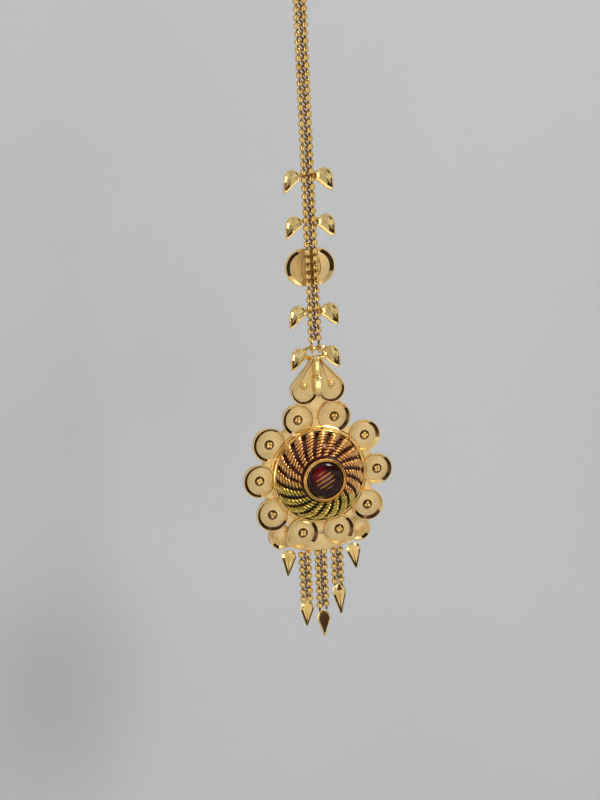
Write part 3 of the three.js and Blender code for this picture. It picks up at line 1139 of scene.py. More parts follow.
@dataclass
class LeafPair:
    """Two drooping leaves, cut with flats and edged with tiny beads, on one cross bar."""

    outline: tuple[FlatPoint, ...] = (
        (1.55, 0.95),
        (2.1, 1.5),
        (2.9, 1.7),
        (3.7, 1.45),
        (4.3, 0.75),
        (4.5, -0.3),
        (4.55, -1.3),
        (4.5, -2.25),
        (3.9, -1.95),
        (3.2, -1.45),
        (2.5, -0.75),
        (1.55, -0.1),
    )
    thick: float = 0.35
    dome: float = 0.36
    back: float = -0.05
    rim: FlatPoint = (0.16, 0.02)
    facet: float = 0.3
    shell_back: float = -0.55
    shell_thick: float = 0.2
    shell_edge: FlatPoint = (0.12, 0.12)
    bead: float = 0.16
    tie_at: Point = (1.72, 0.5, -0.05)
    tie_tilt: float = math.radians(70)
    bar_depth: float = -1.35
    bar_wire: float = 0.7

    def leaf(self, rack: FinishRack, side: int) -> list[Piece]:
        """Makes one leaf.

        Args:
            rack: The finishes.
            side: 1 for the right leaf and -1 for the left one.

        Returns:
            The leaf, its back shell and its edge beads.
        """
        face = cut_sheet("leaf", list(reversed(self.outline)), self.back)
        rack.coat_all(face, Finish.FACET)
        with editing(face):
            lift(self.thick)
            inset(*self.rim)
            inset(self.facet, self.dome * 0.6)
            bpy.ops.mesh.poke(offset=self.dome * 0.5)
        # The facets near the leaf's tip are painted near-black: a painted dark reflection.
        with editing(face):
            pick_faces(face, lambda at, _: at.y < -0.75 and at.x > 3.3 and at.z > self.thick)
            rack.coat_picked(face, Finish.PAINTED_DARK)
        shell = cut_sheet("shell", list(reversed(self.outline)), self.shell_back)
        rack.coat_all(shell, Finish.POLISHED)
        with editing(shell):
            lift(self.shell_thick)
            inset(*self.shell_edge)
            bpy.ops.mesh.select_all(action="SELECT")
            bpy.ops.transform.resize(value=(1.03, 1.05, 1), center_override=(3.2, -0.2, 0))
            bpy.ops.transform.translate(value=(-0.12, -0.28, 0))
        parts = [face, shell]
        bead = rack.finished(make_ball("bead", self.bead, 1.0, 8), Finish.POLISHED)
        edge = [Vector((x, y, self.thick - 0.12)) for x, y in self.outline[2:8]]
        places = []
        for start, end in pairwise(edge):
            steps = max(1, round((end - start).length / (2.1 * self.bead)))
            places += [Matrix.Translation(start.lerp(end, i / steps)) for i in range(steps)]
        parts += repeat(bead, places)
        if side < 0:
            mirror_all(parts)
        return parts

    def wings(self, rack: FinishRack) -> list[Piece]:
        """Both leaves, with the small loops that tie them to the chain."""
        parts = self.leaf(rack, 1) + self.leaf(rack, -1)
        for side in (-1, 1):
            loop = make_link_ring("tie", 0.33, 0.14, 1.0, (14, 8))
            x, y, z = self.tie_at
            tilt = Matrix.Rotation(self.tie_tilt, 4, "Y")
            loop.data.transform(Matrix.Translation((side * x, y, z)) @ tilt)
            parts.append(rack.finished(loop, Finish.POLISHED))
        return parts

    def build(self, name: str, jeweller: Jeweller, place: Place, node: str) -> None:
        """Makes the pair with its cross bar and sets it.

        Args:
            name: The piece's name.
            jeweller: Sets the piece.
            place: Where the pair goes.
            node: The CAD node that it stands for.
        """
        route: list[Point] = [
            (-2.0, 0.45, -0.3),
            (-1.7, 0.4, self.bar_depth),
            (0, 0.35, self.bar_depth),
            (1.7, 0.4, self.bar_depth),
            (2.0, 0.45, -0.3),
        ]
        bar = jeweller.rack.finished(bend_wire("bar", route, self.bar_wire), Finish.POLISHED)
        pair = fuse(name, [bar, *self.wings(jeweller.rack)])
        jeweller.set_piece(pair, place, Body.CHAIN, [node])


@dataclass
class TwinDisc:
    """Two overlapping cup discs that lie behind the chain."""

    radius: float = 3.45
    spread: float = 1.2
    sides: int = 56
    cup: Cup = Cup(back=-1.5, front=0.0, lip=0.14, bevel=0.5, sunk=0.3, shift=0.25, flare=1.16)
    line_reach: float = 2.55
    line_pitch: float = 0.42
    line_wide: float = 0.12

    def disc(self, rack: FinishRack, side: int) -> list[Piece]:
        """Makes one of the two discs, with its engraving.

        Args:
            rack: The finishes.
            side: 1 for the right disc and -1 for the left one.

        Returns:
            The disc and its lines.
        """
        # The arc of the bevel that gets the painted dark reflection, in degrees.
        painted_dark_from, painted_dark_to = (math.radians(a) for a in ((110, 205) if side < 0 else (-20, 75)))
        toward = (-0.94, 0.34) if side < 0 else (0.94, 0.34)
        cup = self.cup
        sheet = cut_sheet("disc", round_outline(self.radius / cup.flare, self.sides), cup.back)

        def cut(centre: Vector) -> bool:
            angle = math.atan2(centre.y, centre.x) % FULL_TURN
            return any(painted_dark_from <= angle + turn <= painted_dark_to for turn in (0, -FULL_TURN))

        disc = cup.raise_from(sheet, rack, cut, toward)
        turn = math.radians(-8 if side < 0 else 48)
        low, high = (-0.9, 0.9) if side < 0 else (-0.4, 0.6)
        chords = chords_across(self.line_reach, self.line_pitch, turn, low, high)
        lines = engraved_lines(rack, chords, 0.02 - cup.sunk, self.line_wide)
        for part in (disc, lines):
            part.data.transform(Matrix.Translation((side * self.spread, 0, 0.02 * side)))
        return [disc, lines]

    def build(self, jeweller: Jeweller, place: Place) -> None:
        """Makes the discs with the ridge between them and sets them."""
        rack = jeweller.rack
        parts = self.disc(rack, -1) + self.disc(rack, 1)
        for x in (-1.5, 1.55):
            route = [(x, -2.9, -0.25), (x * 0.98, 0, -0.2), (x, 2.9, -0.25)]
            ridge = bend_wire("ridge", route, 0.22, fine=2)
            parts.append(rack.finished(ridge, Finish.POLISHED))
        discs = fuse("twin_cup_disc", parts)
        jeweller.set_piece(discs, place, Body.CHAIN, ["twin_disc"])


# ---------------------------------------------------------------- pendant


@dataclass(frozen=True)
class PetalPlan:
    """One petal's size, and each arc of painted dark reflection on its rim: its middle and half its
    sweep, in degrees.
    """

    radius: float
    arcs: tuple[FlatPoint, ...]

    def is_painted_dark(self, bearing: float) -> bool:
        """Whether the rim is painted dark, as a painted reflection, at a bearing, in degrees."""
        return any(abs((bearing - middle + 180) % 360 - 180) < half for middle, half in self.arcs)


@dataclass
class Petals:
    """Ten cup petals round the plate, each with crescents of painted dark reflection and a cluster
    of granules on a disc of painted shade.
    """

    pitch: float = 11.1
    sides: int = 56
    cup: Cup = Cup(back=-1.2, front=1.0, lip=0.13, bevel=0.36, sunk=0.42, shift=0.24, flare=1.2)
    plans: tuple[PetalPlan, ...] = (
        PetalPlan(3.02, ((-20, 52),)),
        PetalPlan(2.92, ((25, 42), (165, 30))),
        PetalPlan(2.86, ((-5, 62),)),
        PetalPlan(2.97, ((-95, 62),)),
        PetalPlan(2.88, ((5, 46), (180, 38))),
        PetalPlan(2.95, ((0, 50), (185, 22))),
        PetalPlan(3.06, ((-135, 104),)),
        PetalPlan(3.1, ((172, 98),)),
        PetalPlan(3.18, ((158, 100),)),
        PetalPlan(3.02, ((180, 62),)),
    )
    lined: tuple[int, ...] = (0, 9)
    line_reach: float = 2.3
    line_pitch: float = 0.5
    line_band: float = 0.85
    line_height: float = 0.59
    line_wide: float = 0.16
    granule: float = 0.33
    granule_spread: float = 0.35

    def petal(self, rack: FinishRack, number: int) -> list[Piece]:
        """Makes one petal, centred on the bench.

        Args:
            rack: The finishes.
            number: Which petal, clockwise from the top.

        Returns:
            The petal and its granules.
        """
        plan = self.plans[number]
        widest = math.radians(plan.arcs[0][0])
        outline = round_outline(plan.radius / self.cup.flare, self.sides)
        sheet = cut_sheet("petal", outline, self.cup.back)

        # Where the petal's bevel gets the painted dark reflection.
        def cut(centre: Vector) -> bool:
            return plan.is_painted_dark(math.degrees(math.atan2(centre.y, centre.x)))

        cup = self.cup.raise_from(sheet, rack, cut, (math.cos(widest), math.sin(widest)))
        floor = self.cup.front - self.cup.sunk
        rows = [(1.0, floor - 0.05), (0.92, floor + 0.07), (0.5, floor + 0.04), (0.1, floor)]
        # A near-black disc under the granules: painted shade round them.
        painted_shade_pit = rack.finished(turn_on_lathe("painted_shade_pit", rows, 10), Finish.PAINTED_DARK)
        parts = [cup, painted_shade_pit]
        lobes = 4 if number % 3 else 3
        size = (self.granule, self.granule_spread)
        for granule in granule_cluster(rack, *size, lobes, 0.5 + number):
            granule.data.transform(Matrix.Translation((0, 0, floor + 0.14)))
            parts.append(granule)
        return parts

    def build(self, jeweller: Jeweller, place: Place) -> None:
        """Makes the petals and sets them round the plate."""
        rack = jeweller.rack
        for number in range(len(self.plans)):
            clockwise = FULL_TURN * (number + 0.5) / len(self.plans)
            x, y = self.pitch * math.sin(clockwise), self.pitch * math.cos(clockwise)
            parts = self.petal(rack, number)
            if number in self.lined:
                slope = math.radians(3 if number else -9)
                band = (-self.line_band, self.line_band)
                chords = chords_across(self.line_reach, self.line_pitch, slope, *band)
                parts.append(engraved_lines(rack, chords, self.line_height, self.line_wide))
            for part in parts:
                part.data.transform(moved(x, y))
            petal = fuse(f"petal_{number + 1:02d}", parts)
            jeweller.set_piece(petal, place, Body.PENDANT, ["pendant_frame"])


@dataclass
class Plate:
    """The plate between the petals and the dome, with its raised collar."""

    radius: float = 10.5
    back: float = -1.18
    front: float = 0.5
    collar_in: float = 8.12
    collar_out: float = 8.62
    collar_front: float = 1.3
    bead_ring: float = 9.05
    bead_wire: float = 0.16
    sides: int = 120
    ring_sides: int = 140

    def build(self, jeweller: Jeweller, place: Place) -> None:
        """Turns the plate and its collar and sets them."""
        rack = jeweller.rack
        rows = [
            (self.radius - 0.1, self.back),
            (self.radius, self.back + 0.1),
            (self.radius, self.front - 0.1),
            (self.radius - 0.1, self.front),
            (self.collar_in, self.front),
            (0.5, self.front),
        ]
        plate = rack.finished(turn_on_lathe("plate", rows, self.sides), Finish.SATIN)
        middle = (self.collar_in + self.collar_out) / 2
        half = (self.collar_out - self.collar_in) / 2
        section = [
            (self.collar_in + 0.05, self.front - 0.2),
            (self.collar_out, self.front - 0.2),
            (self.collar_out, self.collar_front - 0.35),
            (middle + half * 0.6, self.collar_front - 0.1),
            (middle, self.collar_front),
            (middle - half * 0.6, self.collar_front - 0.12),
            (self.collar_in, self.collar_front - 0.4),
            (self.collar_in + 0.05, self.front - 0.2),
        ]
        collar = turn_on_lathe("collar", section, self.ring_sides, ring=True)
        rack.finished(collar, Finish.POLISHED)
        hoop = make_link_ring("hoop", self.bead_ring, self.bead_wire, 1.2, (self.ring_sides, 8))
        hoop.data.transform(Matrix.Translation((0, 0, self.front + 0.05)))
        rack.finished(hoop, Finish.POLISHED)
        whole = fuse("rosette_plate", [plate, collar, hoop])
        jeweller.set_piece(whole, place, Body.PENDANT, ["pendant_frame"])


@dataclass
class FiligreeDome:
    """A dome of rope-twisted ribs that sweep round as they climb, over a ground of red and green
    lacquer darkened as painted shade between the ribs.
    """

    ribs: int = 20
    turns: int = 9
    sweep: float = 0.36
    sweep_gain: float = 1.3
    turn_size: FlatPoint = (0.25, 0.40)
    turn_share: float = 0.44
    turn_lean: float = math.radians(12)
    turn_sunk: float = 0.08
    loose: FlatPoint = (0.008, 0.06)
    sides: int = 96
    profile: tuple[FlatPoint, ...] = (
        (7.95, 0.95),
        (7.75, 1.75),
        (7.3, 2.5),
        (6.6, 3.15),
        (5.7, 3.65),
        (4.9, 3.95),
        (4.25, 4.05),
    )

    def on_profile(self, share: float) -> tuple[float, float, float]:
        """A point on the dome's profile.

        Args:
            share: How far along the profile, from 0 at the foot to 1 at the top.

        Returns:
            The radius, the height and the slope there.
        """
        lengths = [math.dist(a, b) for a, b in pairwise(self.profile)]
        goal = share * sum(lengths)
        for (start, end), length in zip(pairwise(self.profile), lengths):
            if goal <= length or end is self.profile[-1]:
                t = goal / length
                slope = math.atan2(end[1] - start[1], start[0] - end[0])
                return start[0] + t * (end[0] - start[0]), start[1] + t * (end[1] - start[1]), slope
            goal -= length
        return (*self.profile[-1], 0.0)

    def ground(self, rack: FinishRack) -> Piece:
        """Turns the smooth ground below the ribs, in lacquer darkened as painted shade."""
        rows = [(r - 0.12, h - 0.28) for r, h in self.profile]
        whole = [(rows[0][0], 0.7), *rows, (3.6, rows[-1][1])]
        return rack.finished(turn_on_lathe("dome_ground", whole, self.sides), Finish.DOME_GROUND)

    def strands(self, rack: FinishRack) -> Piece:
        """Lays the rope turns of every rib."""
        stroke = smooth(make_ball("rope_turn", 1.0, 1.0, 12), math.radians(80))
        rng = random.Random(20)
        places = []
        for rib in range(self.ribs):
            start = FULL_TURN * (rib + 0.5) / self.ribs
            for turn in range(self.turns):
                share = (turn + 0.5) / self.turns
                radius, height, slope = self.on_profile(share)
                drift, lean = (rng.uniform(-play, play) for play in self.loose)
                angle = start + self.sweep * share**self.sweep_gain + drift
                width = self.turn_share * FULL_TURN * radius / self.ribs
                size = Matrix.Diagonal((self.turn_size[0], width, self.turn_size[1], 1))
                twist = Matrix.Rotation(self.turn_lean + lean, 4, "Z")
                tip = Matrix.Rotation(slope, 4, "Y")
                around = Matrix.Rotation(angle, 4, "Z")
                stand = Matrix.Translation((radius, 0, height - self.turn_sunk))
                places.append(around @ stand @ tip @ twist @ size)
        ropes = fuse("dome_ropes", repeat(stroke, places))
        rack.coat_all(ropes, Finish.DOME_WIRE)
        return ropes

    def build(self, jeweller: Jeweller, place: Place) -> None:
        """Makes the dome and sets it."""
        for part in (self.ground(jeweller.rack), self.strands(jeweller.rack)):
            jeweller.set_piece(part, place, Body.PENDANT, ["dome"])


@dataclass
class StoneSetting:
    """A polished rim with a double edge, and the red cabochon in it."""

    outer: float = 4.0
    bore: float = 3.38
    foot: float = 3.3
    rim: float = 5.25
    stone: float = 3.4
    girdle: float = 4.7
    crown: float = 5.75
    rings: int = 10
    rim_sides: int = 96
    stone_sides: int = 72

    def build(self, jeweller: Jeweller, place: Place) -> None:
        """Makes the setting and the stone and sets them."""
        rack = jeweller.rack
        section = [
            (self.bore - 0.2, self.foot),
            (self.outer - 0.15, self.foot),
            (self.outer, self.foot + 0.3),
            (self.outer, self.rim - 0.35),
            (self.outer - 0.06, self.rim - 0.12),
            (self.outer - 0.17, self.rim - 0.05),
            (self.outer - 0.26, self.rim - 0.42),
            (self.outer - 0.34, self.rim - 0.08),
            (self.outer - 0.45, self.rim),
            (self.bore + 0.04, self.rim - 0.1),
            (self.bore, self.rim - 0.4),
            (self.bore - 0.2, self.foot),
        ]
        rim = turn_on_lathe("stone_rim", section, self.rim_sides, ring=True)
        rack.finished(rim, Finish.POLISHED, math.radians(50))
        jeweller.set_piece(rim, place, Body.PENDANT, ["bezel"])
        rows = [(self.stone, self.girdle - 0.6), (self.stone, self.girdle)]
        for i in range(1, self.rings + 1):
            angle = math.pi / 2 * i / self.rings
            radius = 0.0 if i == self.rings else self.stone * math.cos(angle)
            rows.append((radius, self.girdle + (self.crown - self.girdle) * math.sin(angle)))
        stone = turn_on_lathe("cabochon", rows, self.stone_sides)
        rack.finished(stone, Finish.GARNET, math.radians(60))
        jeweller.set_piece(stone, place, Body.PENDANT, ["stone"])


@dataclass
class HeartTop:
    """Two teardrop cups side by side, with a bright ribbon between them."""

    bulb_x: float = 2.56
    bulb_y: float = 15.8
    radius: float = 2.54
    tip: FlatPoint = (0.55, 21.8)
    blunt: FlatPoint = (-0.65, 0.4)
    root: float = 0.6
    steps: int = 40
    sides: int = 5
    grain: float = 0.66
    line_pitch: float = 0.55
    lines: int = 12
    cup: Cup = Cup(back=-1.2, front=1.1, lip=0.12, bevel=0.26, sunk=0.42, shift=0.1, flare=1.16)
    strips: tuple[tuple[float, ...], ...] = ((15.4, 18.2, 0.7, 1.5), (18.55, 21.9, 0.45, 1.35))

    def outline(self) -> list[FlatPoint]:
        """The right teardrop's outline, counter-clockwise, with a slightly rounded tip."""
        tip = Vector(self.tip)
        bulb = Vector((self.bulb_x, self.bulb_y))
        axis = math.atan2(tip.y - bulb.y, tip.x - bulb.x)
        spread = math.acos(self.radius / (tip - bulb).length)
        begin, end = axis + spread, axis - spread + FULL_TURN
        points = []
        for i in range(self.steps + 1):
            angle = begin + (end - begin) * i / self.steps
            x = bulb.x + self.radius * math.cos(angle)
            y = bulb.y + self.radius * math.sin(angle)
            points.append((x, y))
        last, first = Vector(points[-1]), Vector(points[0])
        for i in range(1, self.sides):
            points.append(tuple(last.lerp(tip, i / self.sides)))
        left, right = self.blunt
        points.append((tip.x + right, tip.y))
        points.append((tip.x + left, tip.y))
        for i in range(1, self.sides):
            points.append(tuple(tip.lerp(first, i / self.sides)))
        return points

    def teardrop(self, rack: FinishRack, side: int) -> list[Piece]:
        """Makes one teardrop.

        Args:
            rack: The finishes.
            side: 1 for the right one and -1 for the left one.

        Returns:
            The cup, its lines and its grain.
        """
        cup = self.cup
        middle = Vector((self.bulb_x, self.bulb_y))
        shrunk = [tuple(middle + (Vector(p) - middle) / cup.flare) for p in self.outline()]
        sheet = cut_sheet("teardrop", shrunk, cup.back)
        # Below this slanting line the bevel gets the painted dark reflection.
        painted_dark_top = self.bulb_y - 0.2

        def cut(centre: Vector) -> bool:
            return centre.y < painted_dark_top + 0.35 * (centre.x - self.bulb_x)

        body = cup.raise_from(sheet, rack, cut, (0.3, -0.95), tuple(middle))
        chords = []
        for i in range(self.lines):
            y = self.bulb_y - 1.7 + i * self.line_pitch
            over = y - self.bulb_y
            half = math.sqrt(max(3.6 - over**2, 0.0)) if over < 0.4 else 1.8 - 0.42 * (over - 0.4)
            drift = -0.34 * max(over, 0.0)
            if half > 0.35:
                x = self.bulb_x + drift
                chords.append(((x - half, y), (x + half, y - 0.1)))
        lines = engraved_lines(rack, chords, cup.front - 0.4, 0.13)
        grain = rack.finished(make_ball("grain", self.grain, 0.85, 20), Finish.POLISHED)
        grain.data.transform(Matrix.Translation((self.bulb_x, self.bulb_y + 0.9, cup.front - 0.3)))
        parts = [body, lines, grain]
        if side < 0:
            mirror_all(parts)
        return parts

    def ribbon(self, rack: FinishRack) -> list[Piece]:
        """Makes the ribbon: a narrow fold above a knot and a broad bright end below it."""
        parts = []
        for low, high, half, front in self.strips:
            middle = (0, (low + high) / 2, (front - self.root) / 2)
            bpy.ops.mesh.primitive_cube_add(size=1, location=middle)
            strip = bpy.context.object
            bpy.ops.object.transform_apply(location=True)
            with editing(strip, "EDGE"):
                size = (2 * half, high - low, front + self.root)
                bpy.ops.transform.resize(value=size, center_override=middle)
                bpy.ops.mesh.bevel(offset=0.12, segments=3, affect="EDGES")
            parts.append(rack.finished(strip, Finish.FACET))
        route = [(-0.6, 18.35, 0.9), (-0.45, 18.4, 1.42), (0.45, 18.4, 1.42), (0.6, 18.35, 0.9)]
        return [*parts, rack.finished(bend_wire("knot", route, 0.3), Finish.POLISHED)]

    def build(self, jeweller: Jeweller, place: Place) -> None:
        """Makes the heart and sets it."""
        rack = jeweller.rack
        outline = [(-2.0, 9.5), (2.0, 9.5), (2.6, 14.6), (-2.6, 14.6)]
        bridge = cut_sheet("bridge", outline, self.cup.back)
        with editing(bridge):
            lift(1.35)
            inset(0.15, 0.1)
        rack.coat_all(bridge, Finish.SATIN)
        parts = [bridge, *self.teardrop(rack, 1), *self.teardrop(rack, -1), *self.ribbon(rack)]
        heart = fuse("heart_top", parts)
        jeweller.set_piece(heart, place, Body.PENDANT, ["pendant_frame"])


@dataclass
class Bail:
    """The cross pin that the chain's last links turn on, and the leaves that carry it."""

    pin: float = 0.7
    yoke: float = 0.85
    half: float = 2.0
    leaf_height: float = 21.9

    def build(self, jeweller: Jeweller, place: Place, pin_height: float, pin_front: float) -> None:
        """Makes the bail and sets it.

        Args:
            jeweller: Sets the piece.
            place: The rosette's place.
            pin_height: The pin's height above the rosette's middle.
            pin_front: How far the pin is in front of the bench.
        """
        rack = jeweller.rack
        foot = self.leaf_height + 0.1
        route: list[Point] = [
            (-self.half, foot, -0.1),
            (-self.half, pin_height - 0.45, pin_front - 0.1),
            (-self.half + 0.3, pin_height, pin_front),
            (0, pin_height, pin_front),
            (self.half - 0.3, pin_height, pin_front),
            (self.half, pin_height - 0.45, pin_front - 0.1),
            (self.half, foot, -0.1),
        ]
        pin = rack.finished(bend_wire("pin", route, self.pin), Finish.POLISHED)
        across = [(-2.1, foot - 0.35, -0.4), (0, foot - 0.45, -0.5), (2.1, foot - 0.35, -0.4)]
        yoke = rack.finished(bend_wire("yoke", across, self.yoke), Finish.POLISHED)
        parts = [pin, yoke]
        for wing in LeafPair().wings(rack):
            wing.data.transform(Matrix.Translation((0, self.leaf_height, 0)))
            parts.append(wing)
        whole = fuse("bail_and_leaves", parts)
        jeweller.set_piece(whole, place, Body.PENDANT, ["pendant_frame"])


@dataclass
class FootBar:
    """The curved bar below the rosette, with a fan and a hanging leaf at each end."""

    half: float = 6.6
    top: float = -11.0
    foot: float = -14.3
    rise: float = 1.6
    back: float = -1.18
    front: float = 0.42
    fan: Point = (7.35, -11.1, 2.3)
    leaf_x: float = 6.0
    leaf_top: float = -13.5
    leaf_lean: float = math.radians(6)
    fan_cup: Cup = Cup(back=-1.18, front=0.1, lip=0.1, bevel=0.4, sunk=0.3, shift=0.15)
    steps: int = 16
    upper_bow: float = 0.7
    rim: FlatPoint = (0.18, 0.2)
    panel: FlatPoint = (0.3, 0.05)
    edge_wire: float = 0.5
    fan_sides: int = 40
    fan_toward: FlatPoint = (0.55, -0.83)
    # How far out, as a share of the radius, a fan's bevel starts to get the painted dark reflection.
    fan_painted_dark: float = 0.75
    rays: int = 9
    ray_inner: float = 0.4
    ray_stop: float = 0.65
    ray_turn: float = math.radians(17)
    ray_wide: float = 0.2

    def bar(self, rack: FinishRack) -> Piece:
        """Makes the bar with its rolled lower edge."""
        lower = []
        upper = []
        for i in range(self.steps + 1):
            x = -self.half + 2 * self.half * i / self.steps
            bow = (x / self.half) ** 2
            lower.append((x, self.foot + self.rise * bow))
            upper.append((x, self.top + self.rise * bow * self.upper_bow))
        sheet = cut_sheet("bar", lower + list(reversed(upper)), self.back)
        rack.coat_all(sheet, Finish.SATIN)
        with editing(sheet):
            lift(self.front - self.back - 0.25)
            inset(*self.rim)
            inset(*self.panel)
        route = [(x, y + 0.16, self.front - 0.35) for x, y in lower[1:-1]]
        edge = rack.finished(bend_wire("edge", route, self.edge_wire), Finish.POLISHED)
        return fuse("bar", [smooth(sheet), edge])

    def fans(self, rack: FinishRack) -> list[Piece]:
        """Makes the two fans that peep out behind the lower petals."""
        parts = []
        x, y, radius = self.fan
        for side in (-1, 1):
            sheet = cut_sheet("fan", round_outline(radius, self.fan_sides), self.back)
            toward = (side * self.fan_toward[0], self.fan_toward[1])

            # The fan's bevel gets the painted dark reflection on its outer side.
            def cut(centre: Vector, toward: FlatPoint = toward) -> bool:
                return centre.x * toward[0] + centre.y * toward[1] > self.fan_painted_dark * radius

            fan = self.fan_cup.raise_from(sheet, rack, cut, toward)
            chords = []
            for i in range(self.rays):
                off = self.ray_turn * (i - (self.rays - 1) / 2)
                angle = math.atan2(toward[1], toward[0]) + off
                ends = (self.ray_inner, radius - self.ray_stop)
                start, end = ((math.cos(angle) * r, math.sin(angle) * r) for r in ends)
                chords.append((start, end))
            for part in (fan, engraved_lines(rack, chords, -0.13, self.ray_wide)):
                part.data.transform(Matrix.Translation((side * x, y, 0)))
                parts.append(part)
        return parts

    def build(self, jeweller: Jeweller, place: Place) -> None:
        """Makes the foot bar and sets it."""
        rack = jeweller.rack
        whole = fuse("foot_bar", [self.bar(rack), *self.fans(rack)])
        jeweller.set_piece(whole, place, Body.PENDANT, ["pendant_frame"])
        for side, label in ((-1, "left"), (1, "right")):
            bud = CutBud(wide=2.7, length=5.3, deep=1.2, face=BudFace.GROOVED, shoulder=0.3)
            leaf = bud.make(rack, f"end_leaf_{label}")
            lean = side * self.leaf_lean
            leaf.data.transform(moved(side * self.leaf_x, self.leaf_top, -0.1, lean))
            jeweller.set_piece(leaf, place, Body.PENDANT, ["pendant_frame"])


class BudFace(Enum):
    """How the front of a bud is worked."""

    GROOVED = "grooved"
    # A mirror front painted near-black: a painted dark reflection.
    MIRROR = "mirror"
    # A thin wedge in the painted dark finish at the top of the front.
    TOP_CUT = "top_cut"


@dataclass
class CutBud:
    """A pointed bud with a framed front and a faceted back."""

    wide: float
    length: float
    deep: float
    face: BudFace
    shoulder: float = 0.36
    steps: int = 12
    blunt: float = 0.12
    shrink: float = 0.3
    lines: int = 5
    line_pitch: float = 0.42
    line_wide: float = 0.1

    def outline(self, shrink: float = 0.0) -> list[FlatPoint]:
        """The bud's outline, round above and tapering straight to a blunt point.

        Args:
            shrink: How far inside the edge the outline lies.

        Returns:
            The points, counter-clockwise.
        """
        half = self.wide / 2 - shrink
        shoulder = -self.length * self.shoulder
        points: list[FlatPoint] = []
        for i in range(self.steps + 1):
            angle = math.pi * i / self.steps
            rise = (-shoulder - shrink) * math.sin(angle) ** 0.85
            points.append((half * math.cos(angle), shoulder + rise))
        points.append((-self.blunt, -self.length + 1.6 * shrink))
        points.append((self.blunt, -self.length + 1.6 * shrink))
        return points

    def make(self, rack: FinishRack, name: str) -> Piece:
        """Makes the bud, hanging from the bench's origin.

        Args:
            rack: The finishes.
            name: The piece's name.

        Returns:
            The bud.
        """
        sheet = cut_sheet(name, self.outline(self.shrink), -self.deep / 2)
        rack.coat_all(sheet, Finish.FACET)
        mirror = self.face is BudFace.MIRROR
        with editing(sheet):
            middle = (0, -self.length * 0.42, 0)
            swell = self.wide / (self.wide - 2 * self.shrink)
            lift(self.deep * 0.45)
            bpy.ops.transform.resize(value=(swell, 1.08, 1), center_override=middle)
            lift(self.deep * 0.25)
            inset(0.08, 0.06)
            inset(0.14 if mirror else 0.3, self.deep * 0.18)
            if mirror:
                inset(0.06, -0.05)
            # A mirror front gets the near-black finish, a painted dark reflection; other fronts are
            # engraved gold.
            rack.coat_picked(sheet, Finish.PAINTED_DARK if mirror else Finish.ENGRAVED)
        # Faces that look down the bud, below its shoulder, are painted dark: painted shade on the
        # underside.
        if not mirror:
            low, high = 0.21 * self.deep + 0.06, 0.40 * self.deep
            with editing(sheet):
                taper = -self.length * self.shoulder
                pick_faces(sheet, lambda c, n: n.y < -0.05 and low < c.z < high and c.y < taper)
                rack.coat_picked(sheet, Finish.PAINTED_DARK)
        parts = [sheet]
        top = self.deep * 0.38 + 0.06
        # A thin wedge in the painted dark finish on the front.
        if self.face is BudFace.TOP_CUT:
            outline = [(-0.5, -1.5), (0.5, -1.5), (0.16, -0.45), (-0.16, -0.45)]
            wedge = cut_sheet("wedge", outline, top)
            rack.coat_all(wedge, Finish.PAINTED_DARK)
            with editing(wedge):
                lift(0.04)
            parts.append(wedge)
        if not mirror:
            half = self.wide / 2 - 0.6
            chords = []
            for i in range(self.lines):
                y = -self.length * 0.32 - i * self.line_pitch
                reach = half * (1 - 0.16 * i)
                chords.append(((-reach, y), (reach, y - 0.04)))
            parts.append(engraved_lines(rack, chords, top, self.line_wide))
        return fuse(name, parts)


@dataclass(frozen=True)
class StrandPlan:
    """One strand of the fringe and the bud at its foot."""

    name: str
    face: BudFace
    seed: int
    turn: float


@dataclass
class Fringe:
    """Three strands of chain below the foot bar, each with a bud."""

    bud_depth: float = 1.45
    plans: tuple[StrandPlan, ...] = (
        StrandPlan("left", BudFace.GROOVED, 3, -0.05),
        StrandPlan("middle", BudFace.MIRROR, 8, 0.0),
        StrandPlan("right", BudFace.TOP_CUT, 14, 0.05),
    )

    def build(self, jeweller: Jeweller, place: Place) -> None:
        """Makes the strands and buds where their CAD nodes are."""
        chain = DoubleChain(pitch=1.42, barrel_radius=0.37, barrel_wire=0.25, row_spread=0.64)
        for plan in self.plans:
            low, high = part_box(f"fringe_chain_{plan.name}")
            x = (low.x + high.x) / 2 / MM
            top = (high.z - place.z) / MM + 0.5
            foot = (low.z - place.z) / MM - 0.5
            links = chain.build(f"fringe_links_{plan.name}", jeweller.rack, top, foot, x, plan.seed)
            node = f"fringe_chain_{plan.name}"
            jeweller.set_piece(links, place, Body.PENDANT, [node])
            low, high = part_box(f"bud_{plan.name}")
            wide = (high.x - low.x) / MM
            length = (high.z - low.z) / MM
            shape = CutBud(wide, length, self.bud_depth, plan.face)
            bud = shape.make(jeweller.rack, f"cut_bud_{plan.name}")
            bud.data.transform(moved(x, (high.z - place.z) / MM, 0, plan.turn))
            jeweller.set_piece(bud, place, Body.PENDANT, [f"bud_{plan.name}"])


# ---------------------------------------------------------------- studio


@dataclass(frozen=True)
class LampPlan:
    """A soft lamp: where it hangs from the rosette, in metres, its size, power and colour."""

    name: str
    at: Point
    size: FlatPoint
    watts: float
    tint: Colour = (1.0, 1.0, 1.0)


LAMPS = (
    LampPlan("key_lamp", (0.30, -0.42, 0.36), (0.18, 0.18), 1.5, (1.0, 0.99, 0.97)),
    LampPlan("fill_lamp", (-0.50, -0.36, 0.10), (0.12, 0.50), 0.42, (0.97, 0.98, 1.0)),
    LampPlan("front_lamp", (0.15, -0.56, -0.13), (0.24, 0.18), 0.16),
    LampPlan("low_lamp", (0.06, -0.24, -0.26), (0.30, 0.20), 0.35),
    LampPlan("side_lamp", (-0.42, -0.30, -0.28), (0.30, 0.30), 0.4),
)


